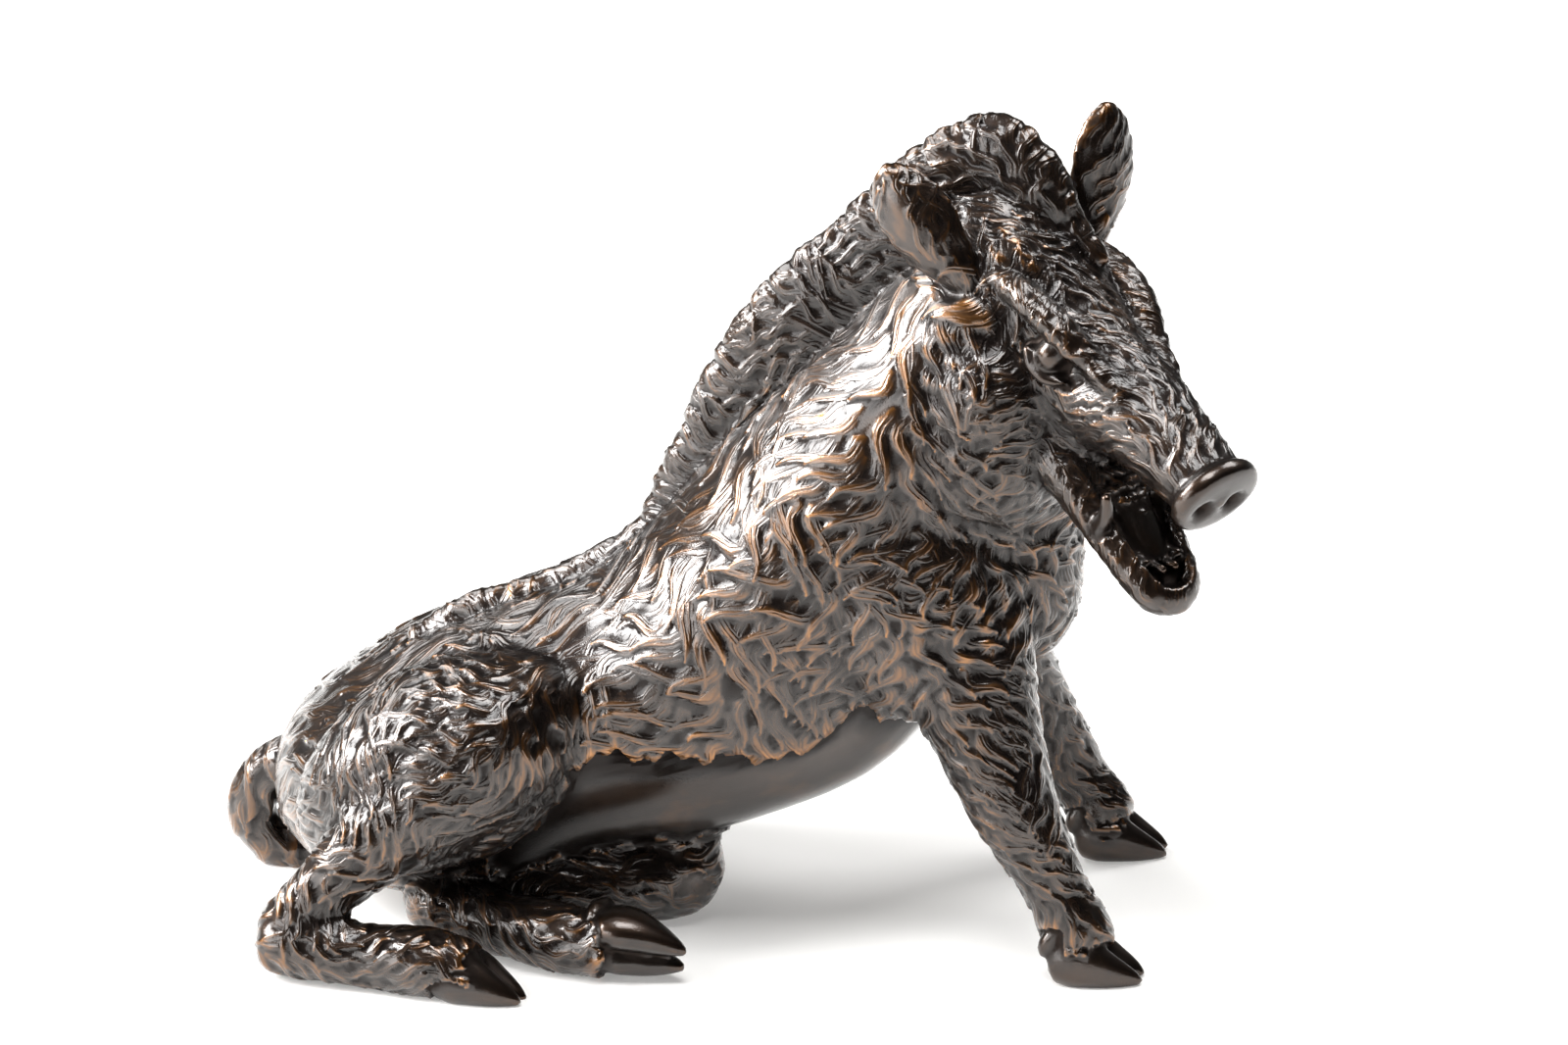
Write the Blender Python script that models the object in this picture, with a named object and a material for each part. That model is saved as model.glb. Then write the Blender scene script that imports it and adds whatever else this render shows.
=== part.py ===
"""A seated wild boar, cast in bronze in one piece and standing on its own hooves, seat and tail.

The boar faces +X, its left side is +Y and it rests on Z = 0. All of it is one solid. The figure's pose and
carving are shares of its height: the tables below give places and half widths in units, and 174 units are
BOAR_HEIGHT. The ears lose about a unit and a half of that when the casting is eased.
"""

import math

import bmesh
import bpy
import numpy as np
from mathutils import Matrix, kdtree

# Driving sizes, in metres.
BOAR_HEIGHT = 0.174
LOCK_RELIEF = 0.0012
COAT_THICKNESS = 0.0016
HOOF_LENGTH = 0.0185
SNOUT_WIDTH = 0.0200
EAR_LENGTH = 0.0265
MANE_RISE = 0.0210
TAIL_THICKNESS = 0.0086

UNITS_TALL = 174.0
UNIT = BOAR_HEIGHT / UNITS_TALL
TRIANGLES = 9400

# How the forms are run together: cell sizes in units, then how often each stage is smoothed.
FLESH_CELL = 1.5
FLESH_SMOOTHING = 14
CAST_CELL = 1.05
CAST_SMOOTHING = 2

# Where the head sits, in units, and how it is turned to the boar's right and bowed.
POLL = np.array([59.0, -6.4, 143.3])
HEAD_TURN = math.radians(43.0)
HEAD_BOW = math.radians(31.5)

# Where the bare skin of the belly ends at the chest, as a height of the trunk's middle line, in units.
BELLY_TOP = 86.0

BRONZE = (0.045, 0.033, 0.026, 1.0)
SEED = 7

# How each part's coat lies. The first three numbers mix the part's own direction, the way out to its upper
# edge, and straight down. Then come a lock's length and width in units, and its share of LOCK_RELIEF.
COATS = {
    "flank": (1.0, 0.0, 0.55, 12.0, 4.6, 1.0),
    "haunch": (0.7, 0.0, 0.9, 11.0, 4.2, 0.9),
    "mane": (0.45, 1.0, 0.0, 9.0, 2.7, 0.8),
    "head": (1.0, 0.0, 0.0, 7.0, 2.8, 0.45),
    "cheek": (0.8, 0.0, 0.7, 8.0, 3.4, 0.7),
    "leg": (1.0, 0.0, 0.2, 8.0, 3.4, 0.6),
    "tail": (1.0, 0.0, 0.0, 11.0, 3.2, 0.7),
    "ear": (1.0, 0.0, 0.0, 9.0, 2.4, 0.35),
    "bare": (1.0, 0.0, 0.0, 0.0, 0.0, 0.0),
}


def unit(vectors):
    """Each vector divided by its length."""
    vectors = np.asarray(vectors, float)
    return vectors / np.maximum(np.linalg.norm(vectors, axis=-1, keepdims=True), 1e-9)


def spline(rows, count):
    """Catmull-Rom curve through the rows of a table, read at evenly spaced places."""
    rows = np.array(rows, float)
    place = np.linspace(0, len(rows) - 1, count)
    first = np.clip(place.astype(int), 0, len(rows) - 2)
    t = (place - first)[:, None]
    padded = np.vstack([2 * rows[0] - rows[1], rows, 2 * rows[-1] - rows[-2]])
    a, b, c, d = (padded[first + k] for k in range(4))
    return b + 0.5 * t * (c - a + t * (2 * a - 5 * b + 4 * c - d + t * (3 * (b - c) + d - a)))


# The head has its own axes: forward along the muzzle, left, and up through the brow.
FORWARD = np.array([math.cos(HEAD_TURN), -math.sin(HEAD_TURN), 0.0]) * math.cos(HEAD_BOW)
FORWARD[2] = -math.sin(HEAD_BOW)
LEFT = np.array([math.sin(HEAD_TURN), math.cos(HEAD_TURN), 0.0])
UP = np.cross(FORWARD, LEFT)


def on_head(rows):
    """Rows whose first three numbers are forward, left and up of the poll, put in the boar's own axes."""
    rows = np.array(rows, float)
    rows[:, :3] = POLL + rows[:, :3] @ np.array([FORWARD, LEFT, UP])
    return rows


class Form:
    """One form of the figure as points and faces, with the way its coat runs at each point."""

    def __init__(self, points, faces, along, outward, coats):
        self.points, self.faces = points, faces
        self.along, self.outward, self.coats = along, outward, coats


def loft(rows, across, coat, rings=22, sides=22, bare_below=None, dish=0.0):
    """A closed form along a table of (x, y, z, half width, half height up, half height down).

    Each ring is an ellipse square to the path, and a point closes each end. Three more numbers in a row
    say where that ring's up points instead. Below the height share bare_below the skin of the belly is
    bare. dish bends a thin section into a shallow trough, as an ear is.
    """
    rows = spline(rows, rings)
    centre, wide, high, low = rows[:, :3], rows[:, 3], rows[:, 4], rows[:, 5]
    along = unit(np.gradient(centre, axis=0))
    side = unit(across - (along @ across)[:, None] * along)
    up = np.cross(along, side)
    if rows.shape[1] > 6:
        up = unit(rows[:, 6:9])
    turn = np.linspace(0, 2 * math.pi, sides, endpoint=False)
    c, s = np.cos(turn)[None, :, None], np.sin(turn)[None, :, None]
    tall = np.where(s > 0, high[:, None, None], low[:, None, None])
    rise = tall * s + dish * wide[:, None, None] * (c * c - 0.5)
    points = centre[:, None] + side[:, None] * wide[:, None, None] * c + up[:, None] * rise
    ends = np.array([centre[0] - along[0] * wide[0] * 0.4, centre[-1] + along[-1] * wide[-1] * 0.4])
    faces = []
    for i in range(rings - 1):
        for j in range(sides):
            k = (j + 1) % sides
            faces.append((i * sides + j, i * sides + k, (i + 1) * sides + k, (i + 1) * sides + j))
    first, last = rings * sides, rings * sides + 1
    for j in range(sides):
        k = (j + 1) % sides
        faces.append((first, k, j))
        faces.append((last, (rings - 1) * sides + j, (rings - 1) * sides + k))
    names = np.full((rings, sides), coat, dtype=object)
    if bare_below is not None:
        names[(np.sin(turn)[None] < bare_below) & (centre[:, 2:] < BELLY_TOP)] = "bare"
    return Form(
        np.vstack([points.reshape(-1, 3), ends]),
        faces,
        np.vstack([np.repeat(along, sides, axis=0), along[:1], along[-1:]]),
        np.vstack([np.repeat(up, sides, axis=0), up[:1], up[-1:]]),
        list(names.reshape(-1)) + [names[0, 0], names[-1, 0]],
    )


def egg(centre, radii, along, coat):
    """An egg-shaped muscle, its coat running along the given direction."""
    steps = np.sin(np.linspace(-math.pi / 2 + 0.12, math.pi / 2 - 0.12, 12))
    along = unit(along)
    size = np.sqrt(((along * radii) ** 2).sum())
    round_off = np.sqrt(1 - steps**2)
    side = unit(np.cross([0.13, 0.11, 1.0], along))
    up = np.cross(along, side)
    across = np.sqrt(((side * radii) ** 2).sum())
    tall = np.sqrt(((up * radii) ** 2).sum())
    rows = np.column_stack(
        [np.array(centre) + np.outer(steps * size, along), across * round_off, tall * round_off, tall * round_off]
    )
    return loft(rows, side, coat, rings=14, sides=18)


SIDEWAYS = np.array([0.0, 1.0, 0.0])


def trunk():
    """Neck to rump. The rows are (x, y, z, half width, up to the foot of the mane, down to the belly)."""
    rows = [
        (63, -6, 147, 13, 9, 12),
        (54, -4, 136, 21, 15, 27),
        (44, -1, 120, 26, 20, 34),
        (32, 0, 100, 30, 25, 41),
        (18, 0, 81, 32, 27, 41),
        (2, 0, 64, 32, 25, 43),
        (-16, 0, 51, 31, 23, 37),
        (-36, 0, 44, 31, 21, 35),
        (-56, 2, 36, 33, 19, 42),
        (-72, 3, 27, 31, 17, 34),
        (-81, 3, 20, 25, 14, 26),
        (-86, 3, 16, 14, 9, 16),
    ]
    return loft(rows, -SIDEWAYS, "flank", rings=40, sides=36, bare_below=-0.62)


def mane():
    """The crest of bristles: a blade that stands on the back, from the hips up to the poll.

    The rows are its foot (x, y, z), and how far its edge lies from the foot when MANE_RISE is 20 mm.
    """
    ribs = np.array(
        [
            (70, -9, 142, 5, -3, 3.5),
            (65.5, -7.5, 144.5, 4.5, -2, 8),
            (61, -6, 148, 3, -1, 16),
            (57, -4, 150, -2, 0, 20),
            (54, -3, 149, -8, 1, 18.5),
            (49, -2, 146, -12, 1, 15.5),
            (41, -1, 138, -17, 1, 10),
            (30, 0, 126, -18, 0, 10.5),
            (22, 0, 117, -18.5, 0, 9.5),
            (13, 0, 105, -17.5, 0, 7),
            (5, 0, 96, -14.5, 0, 4.5),
            (-3, 0, 84, -11.5, 0, 5),
            (-12, 0, 73, -7.5, 0, 6.5),
            (-33, 0, 61, -3, 0, 8),
            (-52, 1, 54, -2, 0, 8),
            (-61, 1, 47, -3, 0, 8),
        ],
        float,
    )
    stand = ribs[:, 3:] * MANE_RISE / 0.020
    rise = np.linalg.norm(stand, axis=1, keepdims=True)
    rows = np.hstack([ribs[:, :3], 1.8 + 0.2 * rise, rise, 0.4 * rise + 3, unit(stand)])
    return loft(rows, -SIDEWAYS, "mane", rings=60, sides=20)


def shoulder(side):
    """The muscle over one shoulder blade. side is -1 on the boar's right."""
    return egg((37, 19 * side, 78), (19, 14, 30), (0.45, 0.1 * side, -0.9), "flank")


def haunch(side):
    """The thigh of one hind leg, seated. The right one is drawn up and the left one lies lower."""
    if side < 0:
        thigh = [
            (-31, -28, 55, 5, 6, 7),
            (-37, -28.5, 52, 12, 11, 14),
            (-46, -28.5, 47, 16, 15, 20),
            (-56, -28, 41, 17.5, 16.5, 22),
            (-66, -27, 33, 16, 15.5, 19),
            (-74, -26, 25, 11, 12, 13),
            (-79, -25, 20, 5, 6, 6),
        ]
        return loft(thigh, -SIDEWAYS, "haunch", rings=18, sides=18)
    return egg((-52, 20, 25), (31, 15, 26), (-0.2, 0.1, -1), "haunch")


def chest():
    """The breast between the forelegs, and the ruff under the jaw."""
    return [
        egg((52, -3, 84), (15, 19, 28), (0.3, 0, -1), "cheek"),
        egg((54, -13, 112), (17, 18, 23), (-0.3, -0.3, -1), "cheek"),
        egg((46, 9, 130), (15, 15, 22), (-0.4, 0.2, -1), "flank"),
        egg((56, 6, 116), (14, 15, 22), (-0.3, 0.2, -1), "cheek"),
    ]


def foreleg(side):
    """A straight foreleg, braced forwards. The rows are (x, y, z, half width, forwards, backwards)."""
    if side < 0:
        rows = [
            (43, -18, 78, 11, 17, 18),
            (50, -23, 58, 10.5, 13, 12),
            (55.5, -26.5, 44, 9, 10, 9.5),
            (60, -29.5, 34, 7.6, 8.2, 8),
            (65, -30.5, 25, 6.4, 6.8, 6.5),
            (68.5, -31, 18, 5.5, 5.9, 6),
            (71.5, -31.3, 11.5, 6.2, 6.9, 6.4),
            (74.5, -31.3, 6, 6, 6.5, 6),
        ]
    else:
        rows = [
            (40, 16, 78, 10, 18, 19),
            (47, 21, 58, 10, 13, 13),
            (53, 25, 44, 8.8, 9.6, 9.6),
            (58.5, 28.5, 33, 7.2, 7.8, 7.6),
            (64, 30.5, 23, 6.2, 6.6, 6.4),
            (68, 31.2, 15.5, 5.4, 5.8, 6),
            (71.5, 31.3, 10.5, 6, 6.6, 6.2),
            (74, 31.3, 6, 5.8, 6.2, 6),
        ]
    return loft(rows, SIDEWAYS, "leg", rings=26, sides=18)


def right_hind_leg():
    """The raised knee, the shank down to the hock, and the cannon along the ground."""
    shank = [
        (-40, -34, 50, 10, 13, 15),
        (-46, -37, 43, 10, 11, 14),
        (-56, -40, 35, 9, 10, 11),
        (-67, -42.5, 27, 7.2, 8, 8.5),
        (-78, -45, 16.5, 5.4, 5.8, 6),
        (-86, -46, 8.5, 5.2, 5.4, 5.4),
    ]
    cannon = [
        (-88, -46.5, 6.6, 5.4, 5.4, 6.6),
        (-76, -48.6, 6.4, 5.6, 5.6, 6.4),
        (-66, -50, 6.2, 5.5, 5.8, 6.2),
        (-57, -51.6, 6.6, 6.4, 7, 6.6),
        (-50, -53, 6.2, 5.4, 6, 6.2),
        (-45, -54, 6, 5.4, 5.4, 6),
    ]
    return [
        loft(shank, SIDEWAYS, "leg", rings=22, sides=18),
        loft(cannon, -SIDEWAYS, "leg", rings=20, sides=18),
    ]


def left_hind_leg():
    """Folded under the belly, so that its foot comes out on the boar's right."""
    thigh = [
        (-50, 14, 30, 12, 14, 14),
        (-34, 6, 20, 12, 12, 12),
        (-20, -3, 13, 10.5, 10.5, 11),
        (-9, -8, 10.5, 10, 9.5, 10.5),
        (-3, -8, 10, 6, 6, 7),
    ]
    shank = [
        (-8, -8, 10, 9, 9, 10),
        (-22, -12, 9.5, 9, 9, 9.5),
        (-40, -17, 8.6, 7.2, 7.2, 8.6),
        (-56, -21.5, 7.4, 5.8, 6, 7.4),
        (-61, -23, 6.6, 4, 4, 5),
    ]
    cannon = [
        (-61, -23, 6.8, 4.5, 5, 6.8),
        (-55, -26, 6.6, 6, 6, 6.6),
        (-43, -31.5, 6.4, 5.8, 5.6, 6.4),
        (-31, -37, 6.6, 6.4, 6.6, 6.6),
        (-24, -40, 6.2, 5.4, 5.8, 6.2),
        (-19, -42, 6, 5.4, 5.4, 6),
    ]
    return [
        loft(thigh, -SIDEWAYS, "leg", rings=18, sides=18),
        loft(shank, -SIDEWAYS, "leg", rings=20, sides=18),
        loft(cannon, -SIDEWAYS, "leg", rings=20, sides=18),
    ]


def hoof(heel, heading, up):
    """A cloven hoof: two claws side by side and two dew claws, bare and smooth, with a flat sole."""
    heading = unit(heading)
    side = unit(np.cross(up, heading))
    up = np.cross(heading, side)
    length = HOOF_LENGTH / UNIT
    width = 0.19 * length
    claw = np.array(
        [
            (0.02, 1.0, 0.16, 0.7, 0.20, 0.16),
            (0.20, 1.0, 0.20, 1.0, 0.36, 0.24),
            (0.42, 1.0, 0.18, 1.0, 0.34, 0.22),
            (0.66, 0.88, 0.13, 0.80, 0.22, 0.17),
            (0.86, 0.70, 0.08, 0.52, 0.12, 0.10),
            (0.98, 0.58, 0.04, 0.25, 0.04, 0.04),
        ]
    )
    forms = []
    for hand in (-1, 1):
        place = np.column_stack([claw[:, 0] * length, hand * claw[:, 1] * width * 0.93, claw[:, 2] * length])
        rows = np.hstack([heel + place @ np.array([heading, side, up]), claw[:, 3:4] * width, claw[:, 4:] * length])
        forms.append(loft(rows, side, "bare", rings=14, sides=14))
        spur = np.array([(0.10, 0.8, 0.62), (-0.03, 1.0, 0.46), (-0.08, 1.05, 0.32)]) * (length, width * hand, length)
        rows = np.hstack([heel + spur @ np.array([heading, side, up]), np.array([[2.0, 2, 2], [2.0, 2, 2], [0.9, 1, 1]])])
        forms.append(loft(rows, side, "bare", rings=8, sides=10))
    return forms


def hooves():
    """Four hooves. The left hind one shows its sole."""
    ground = (0, 0, 1)
    return (
        hoof(np.array([67.5, -31.3, 0]), (1, -0.03, 0), ground)
        + hoof(np.array([67.5, 31.3, 0]), (1, 0.03, 0), ground)
        + hoof(np.array([-53.5, -52.2, -0.4]), (1, -0.17, 0), (0, 0.22, 1))
        + hoof(np.array([-22.5, -45.6, 7.4]), (0.97, 0.08, -0.12), (-0.12, 0.93, 0.3))
    )


def tail():
    """A thick tail that leaves the rump, drops to the ground and curls back under itself in a small ring."""
    rows = np.array(
        [
            (-76, 4, 25, 1.2),
            (-87, 6, 25, 1.1),
            (-95, 7.5, 20.5, 1.0),
            (-99, 8.5, 12, 1.0),
            (-95.5, 9.5, 5.2, 1.0),
            (-89, 10, 3.4, 1.0),
            (-82, 10, 4.2, 0.9),
            (-75, 10, 7, 0.7),
        ]
    )
    thick = rows[:, 3:] * TAIL_THICKNESS / UNIT / 2
    return loft(np.hstack([rows[:, :3], thick, thick, thick]), SIDEWAYS, "tail", rings=34, sides=16)


def skull():
    """The head from the snout back to the poll, without the lower jaw."""
    rows = [
        (63.5, 0, 0, 8.2, 7.0, 7.0),
        (59, 0, 0, 8.4, 7.2, 7.2),
        (51, 0, -0.5, 9.0, 8.0, 8),
        (41, 0, -2, 10.4, 9.6, 9.6),
        (31, 0, -4, 11.6, 11.4, 14),
        (20, 0, -5, 13.6, 13.2, 19),
        (8, 0, -6, 16.2, 16.5, 23),
        (-5, 0, -6, 17.5, 18, 25),
        (-15, 0, -8, 14, 14, 22),
        (-21, 0, -10, 9, 9, 14),
    ]
    return loft(on_head(rows), -LEFT, "head", rings=34, sides=28)


def brow(side):
    """The ridge over one eye."""
    rows = [
        (4, 12.0 * side, 3.6, 2.2, 1.4, 3),
        (12, 12.0 * side, 5.8, 3.0, 1.9, 3),
        (21, 11.0 * side, 6.4, 3.2, 2.1, 3.4),
        (30, 8.6 * side, 4.8, 2.8, 1.7, 3),
        (40, 5.8 * side, 4.4, 2.2, 1.2, 2.4),
    ]
    return loft(on_head(rows[::-1]), -LEFT, "head", rings=16, sides=12)


def cheek(side):
    """The heavy jowl under and behind one eye."""
    return egg(on_head([(17, 13.5 * side, -18)])[0], (15, 10, 14), -FORWARD + np.array([0, 0, -0.5]), "cheek")


def eye(side):
    """The ball of one eye, and the lid below it."""
    ball = egg(on_head([(24.0, 11.8 * side, 1.2)])[0], (3.4, 3.4, 3.4), FORWARD, "bare")
    lid = [
        (19.5, 14.2 * side, -0.3, 1.1, 1.1, 1.1),
        (22.5, 14.5 * side, -2.5, 1.3, 1.3, 1.3),
        (26.5, 13.6 * side, -2.7, 1.3, 1.3, 1.3),
        (30, 11.8 * side, -0.4, 1.1, 1.1, 1.1),
    ]
    return [ball, loft(on_head(lid), UP, "bare", rings=12, sides=10)]


def snout():
    """The flat disc of the snout."""
    half = SNOUT_WIDTH / UNIT / 2
    rows = [
        (62.2, 0, 0.2, 0.84 * half, 0.76 * half, 0.76 * half),
        (63.6, 0, 0.2, 1.00 * half, 0.89 * half, 0.88 * half),
        (65.6, 0, 0.2, 1.00 * half, 0.89 * half, 0.88 * half),
        (66.6, 0, 0.2, 0.92 * half, 0.82 * half, 0.81 * half),
        (66.9, 0, 0.2, 0.60 * half, 0.54 * half, 0.53 * half),
        (67.0, 0, 0.2, 0.20 * half, 0.18 * half, 0.18 * half),
    ]
    return loft(on_head(rows[::-1]), -LEFT, "bare", rings=14, sides=28)


def lower_jaw():
    """The open lower jaw, before its trough is cut."""
    rows = [
        (70, 0, -27.5, 4.2, 2.6, 3.2),
        (66.5, 0, -26.8, 7.4, 3.8, 4.8),
        (58, 0, -24.8, 9.2, 4.6, 5.6),
        (48, 0, -22.4, 10.8, 5, 6.8),
        (36, 0, -20, 12.6, 6.4, 8.2),
        (22, 0, -19, 13.5, 9, 9.5),
    ]
    return loft(on_head(rows), -LEFT, "cheek", rings=20, sides=24)


def jaw_root():
    """The fleshy corners of the mouth, where the lower jaw leaves the jowls."""
    rows = [
        (47, 0, -21.5, 8, 3.6, 5.5),
        (39, 0, -20, 11.2, 5.5, 8),
        (28, 0, -19, 13.6, 10, 10),
        (17, 0, -19, 14, 10, 10),
    ]
    return loft(on_head(rows), -LEFT, "cheek", rings=14, sides=20)


def jaw_trough():
    """What is cut out of the lower jaw to leave its two lips."""
    rows = [
        (68, 0, -22.5, 3.6, 4, 3.6),
        (64, 0, -21.5, 5.6, 5, 5.2),
        (56, 0, -19.5, 7, 6, 5.4),
        (46, 0, -16.6, 8.4, 6, 5.4),
        (36, 0, -14.4, 9, 3, 4),
    ]
    return loft(on_head(rows), -LEFT, "bare", rings=14, sides=20)


def teeth():
    """The lower tusks at the corners of the mouth, four front teeth, and the tongue."""
    forms = []
    for side in (-1, 1):
        tusk = [
            (50.5, 8.6 * side, -23, 2.0, 2.0, 2.0),
            (51.5, 9.8 * side, -17.5, 1.7, 1.7, 1.7),
            (50, 11 * side, -12.5, 1.1, 1.1, 1.1),
        ]
        forms.append(loft(on_head(tusk), FORWARD, "bare", rings=9, sides=10))
        for step in (0, 1):
            root = (64 - 2.6 * step, (1.6 + 2.6 * step) * side)
            tooth = [(root[0] - 4, root[1], -25.5, 1.1, 1.2, 1.2), (root[0] + 0.4, root[1], -22.6, 1.0, 1, 1)]
            forms.append(loft(on_head(tooth), LEFT, "bare", rings=5, sides=8))
    tongue = [
        (34, 0, -16, 5, 3, 4),
        (46, 0, -19.4, 5, 2.6, 3),
        (56, 0, -22.8, 4.2, 2, 2),
        (60, 0, -24, 2.4, 1.2, 1.4),
    ]
    forms.append(loft(on_head(tongue), LEFT, "bare", rings=12, sides=12))
    return forms


def ear(side):
    """One ear, a dished leaf. The right ear is laid back and the left one stands."""
    length = EAR_LENGTH / UNIT
    way = unit((-0.88, 0.26 * side, 0.40)) if side < 0 else unit((-0.58, 0.10, 0.81))
    root = np.array([1.0, 18.0 * side, 0.5])
    share = np.array([-0.12, 0.10, 0.34, 0.58, 0.80, 0.95, 1.0])
    wide = np.array([3.4, 4.8, 6.9, 7.5, 6.2, 3.8, 1.8])
    bend = np.array([-3.0, -0.8, 0.8, 1.2, 1.0, 0.4, 0.0])
    places = root + np.outer(share * length, way) + np.outer(bend, (0.3, side, 0.2))
    thick = np.array([2.6, 1.9, 1.4, 1.25, 1.2, 1.1, 0.9])
    facing = unit((0.55, 0.55 * side, 0.25)) if side < 0 else unit((0.75, -0.10, 0.45))
    across = unit(np.cross(way, facing)) @ np.array([FORWARD, LEFT, UP])
    rows = np.column_stack([places, wide, thick, thick])
    return loft(on_head(rows), across, "ear", rings=20, sides=20, dish=0.34)


def as_object(name, forms):
    """One mesh object holding the given forms side by side."""
    points = np.vstack([form.points for form in forms])
    faces, shift = [], 0
    for form in forms:
        faces += [tuple(v + shift for v in face) for face in form.faces]
        shift += len(form.points)
    mesh = bpy.data.meshes.new(name)
    mesh.from_pydata(points.tolist(), [], faces)
    mesh.update()
    shaped = bpy.data.objects.new(name, mesh)
    bpy.context.scene.collection.objects.link(shaped)
    make_faces_point_out(mesh)
    return shaped


def make_faces_point_out(mesh):
    """Recalculates the normals of closed shells."""
    shells = bmesh.new()
    shells.from_mesh(mesh)
    bmesh.ops.recalc_face_normals(shells, faces=shells.faces)
    shells.to_mesh(mesh)
    shells.free()


def bake(shaped):
    """Turns an object's modifiers into its own mesh."""
    bpy.context.view_layer.update()
    graph = bpy.context.evaluated_depsgraph_get()
    mesh = bpy.data.meshes.new_from_object(shaped.evaluated_get(graph))
    shaped.modifiers.clear()
    shaped.data = mesh


def run_together(shaped, cell, smoothing):
    """Melts overlapping forms into one skin, and eases the creases between them."""
    remesh = shaped.modifiers.new("One skin", "REMESH")
    remesh.mode = "VOXEL"
    remesh.voxel_size = cell
    ease = shaped.modifiers.new("Eased creases", "SMOOTH")
    ease.factor = 0.5
    ease.iterations = smoothing
    bake(shaped)


def form_of(shaped):
    """The points and faces of an object, to be joined with other forms."""
    mesh = shaped.data
    points = np.empty(len(mesh.vertices) * 3, np.float32)
    mesh.vertices.foreach_get("co", points)
    faces = [tuple(face.vertices) for face in mesh.polygons]
    bpy.data.objects.remove(shaped)
    return Form(points.reshape(-1, 3).astype(float), faces, None, None, None)


def hollowed_jaw():
    """The lower jaw with its trough cut."""
    jaw = as_object("jaw", [lower_jaw()])
    trough = as_object("jaw_trough", [jaw_trough()])
    cut = jaw.modifiers.new("Trough", "BOOLEAN")
    cut.operation = "DIFFERENCE"
    cut.object = trough
    bake(jaw)
    bpy.data.objects.remove(trough)
    return form_of(jaw)


def guides(forms):
    """Where each form's coat runs, as arrays and a tree of their places."""
    places = np.vstack([form.points for form in forms])
    along = np.vstack([form.along for form in forms])
    outward = np.vstack([form.outward for form in forms])
    coats = [name for form in forms for name in form.coats]
    tree = kdtree.KDTree(len(places))
    for i, place in enumerate(places):
        tree.insert(place, i)
    tree.balance()
    table = np.array([COATS[name] for name in coats])
    way = table[:, :1] * along + table[:, 1:2] * outward - table[:, 2:3] * np.array([0, 0, 1.0])
    return tree, unit(way), table[:, 3:]


def comb_relief(points, normals, forms):
    """How far the coat stands out of the skin at each point, in units.

    Locks are laid over the skin like shingles. Each has a root, a bent middle line and a pointed tip, stands
    highest near its tip, and the highest lock at a point wins. The skin between bare places stays as it is.
    """
    tree, ways, sizes = guides(forms)
    found = np.array([tree.find(point)[1] for point in points])
    covered = sizes[found, 0] > 0
    relief = np.where(covered, COAT_THICKNESS / UNIT * sizes[found, 2], 0.0)
    order = np.lexsort(np.round(points.T, 2))
    draw = np.random.RandomState(SEED)
    candidates = order[draw.permutation(len(order))[:9000]]
    taken = np.zeros((0, 3))
    skin = kdtree.KDTree(len(points))
    for i, point in enumerate(points):
        skin.insert(point, i)
    skin.balance()
    for v in candidates:
        long, wide, share = sizes[found[v]]
        if long == 0:
            continue
        root = points[v]
        if len(taken) and ((taken - root) ** 2).sum(1).min() < (0.30 * long) * wide:
            continue
        taken = np.vstack([taken, root])
        normal = normals[v]
        wave = 0.55 * math.sin(0.16 * root[0] + 0.11 * root[2] + 1.5 * math.sin(0.07 * root[2]))
        way = unit(ways[found[v]] - normal * (ways[found[v]] @ normal))
        aside = np.cross(normal, way)
        way, aside = way * math.cos(wave) + aside * math.sin(wave), aside * math.cos(wave) - way * math.sin(wave)
        near = np.array([i for _, i, _ in skin.find_range(root + way * long * 0.45, long * 0.75)])
        from_root = points[near] - root
        reach = from_root @ way / long
        bend = (0.9 + 0.5 * draw.rand()) * wide * math.copysign(1, wave) * (reach**2 - 0.4 * reach)
        taper = 0.5 * wide * np.sqrt(np.clip(1.05 - reach, 0, 1)) * np.clip((reach + 0.25) * 3, 0, 1)
        off = np.abs(from_root @ aside - bend) / np.maximum(taper, 1e-6)
        inside = (off < 1) & (reach > -0.2) & (reach < 1.0) & (normals[near] @ normal > 0.2)
        dome = np.sqrt(np.clip(1 - off**2, 0, 1)) * (0.35 + 0.65 * np.clip(reach + 0.2, 0, 1))
        stand = (COAT_THICKNESS * 0.6 + LOCK_RELIEF * 1.5 * dome) / UNIT * share
        relief[near] = np.where(inside & covered[near], np.maximum(relief[near], stand), relief[near])
    return relief


def coated(shaped, forms):
    """Raises the locks of the coat on the skin, and sinks the eyes and nostrils."""
    mesh = shaped.data
    points = np.empty(len(mesh.vertices) * 3, np.float32)
    normals = np.empty(len(mesh.vertices) * 3, np.float32)
    mesh.vertices.foreach_get("co", points)
    mesh.vertices.foreach_get("normal", normals)
    points, normals = points.reshape(-1, 3).astype(float), normals.reshape(-1, 3).astype(float)
    relief = comb_relief(points, normals, forms)
    points += normals * relief[:, None]
    for side in (-1, 1):
        for place, radius, depth in (((67.0, 3.8 * side, -1.2), 1.9, 2.6), ((30.5, 11.5 * side, 1.2), 3.5, 1.4)):
            away = np.linalg.norm(points - on_head([place])[0], axis=1)
            points -= normals * (depth * np.exp(-((away / radius) ** 2)))[:, None]
    mesh.vertices.foreach_set("co", points.astype(np.float32).ravel())
    mesh.update()


def thin_out(shaped, triangles):
    """Keeps the faces that the carving needs, down to a number of triangles."""
    mesh = shaped.data
    count = sum(len(face.vertices) - 2 for face in mesh.polygons)
    fewer = shaped.modifiers.new("Fewer faces", "DECIMATE")
    fewer.ratio = triangles / count
    fewer.use_collapse_triangulate = True
    bake(shaped)


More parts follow.
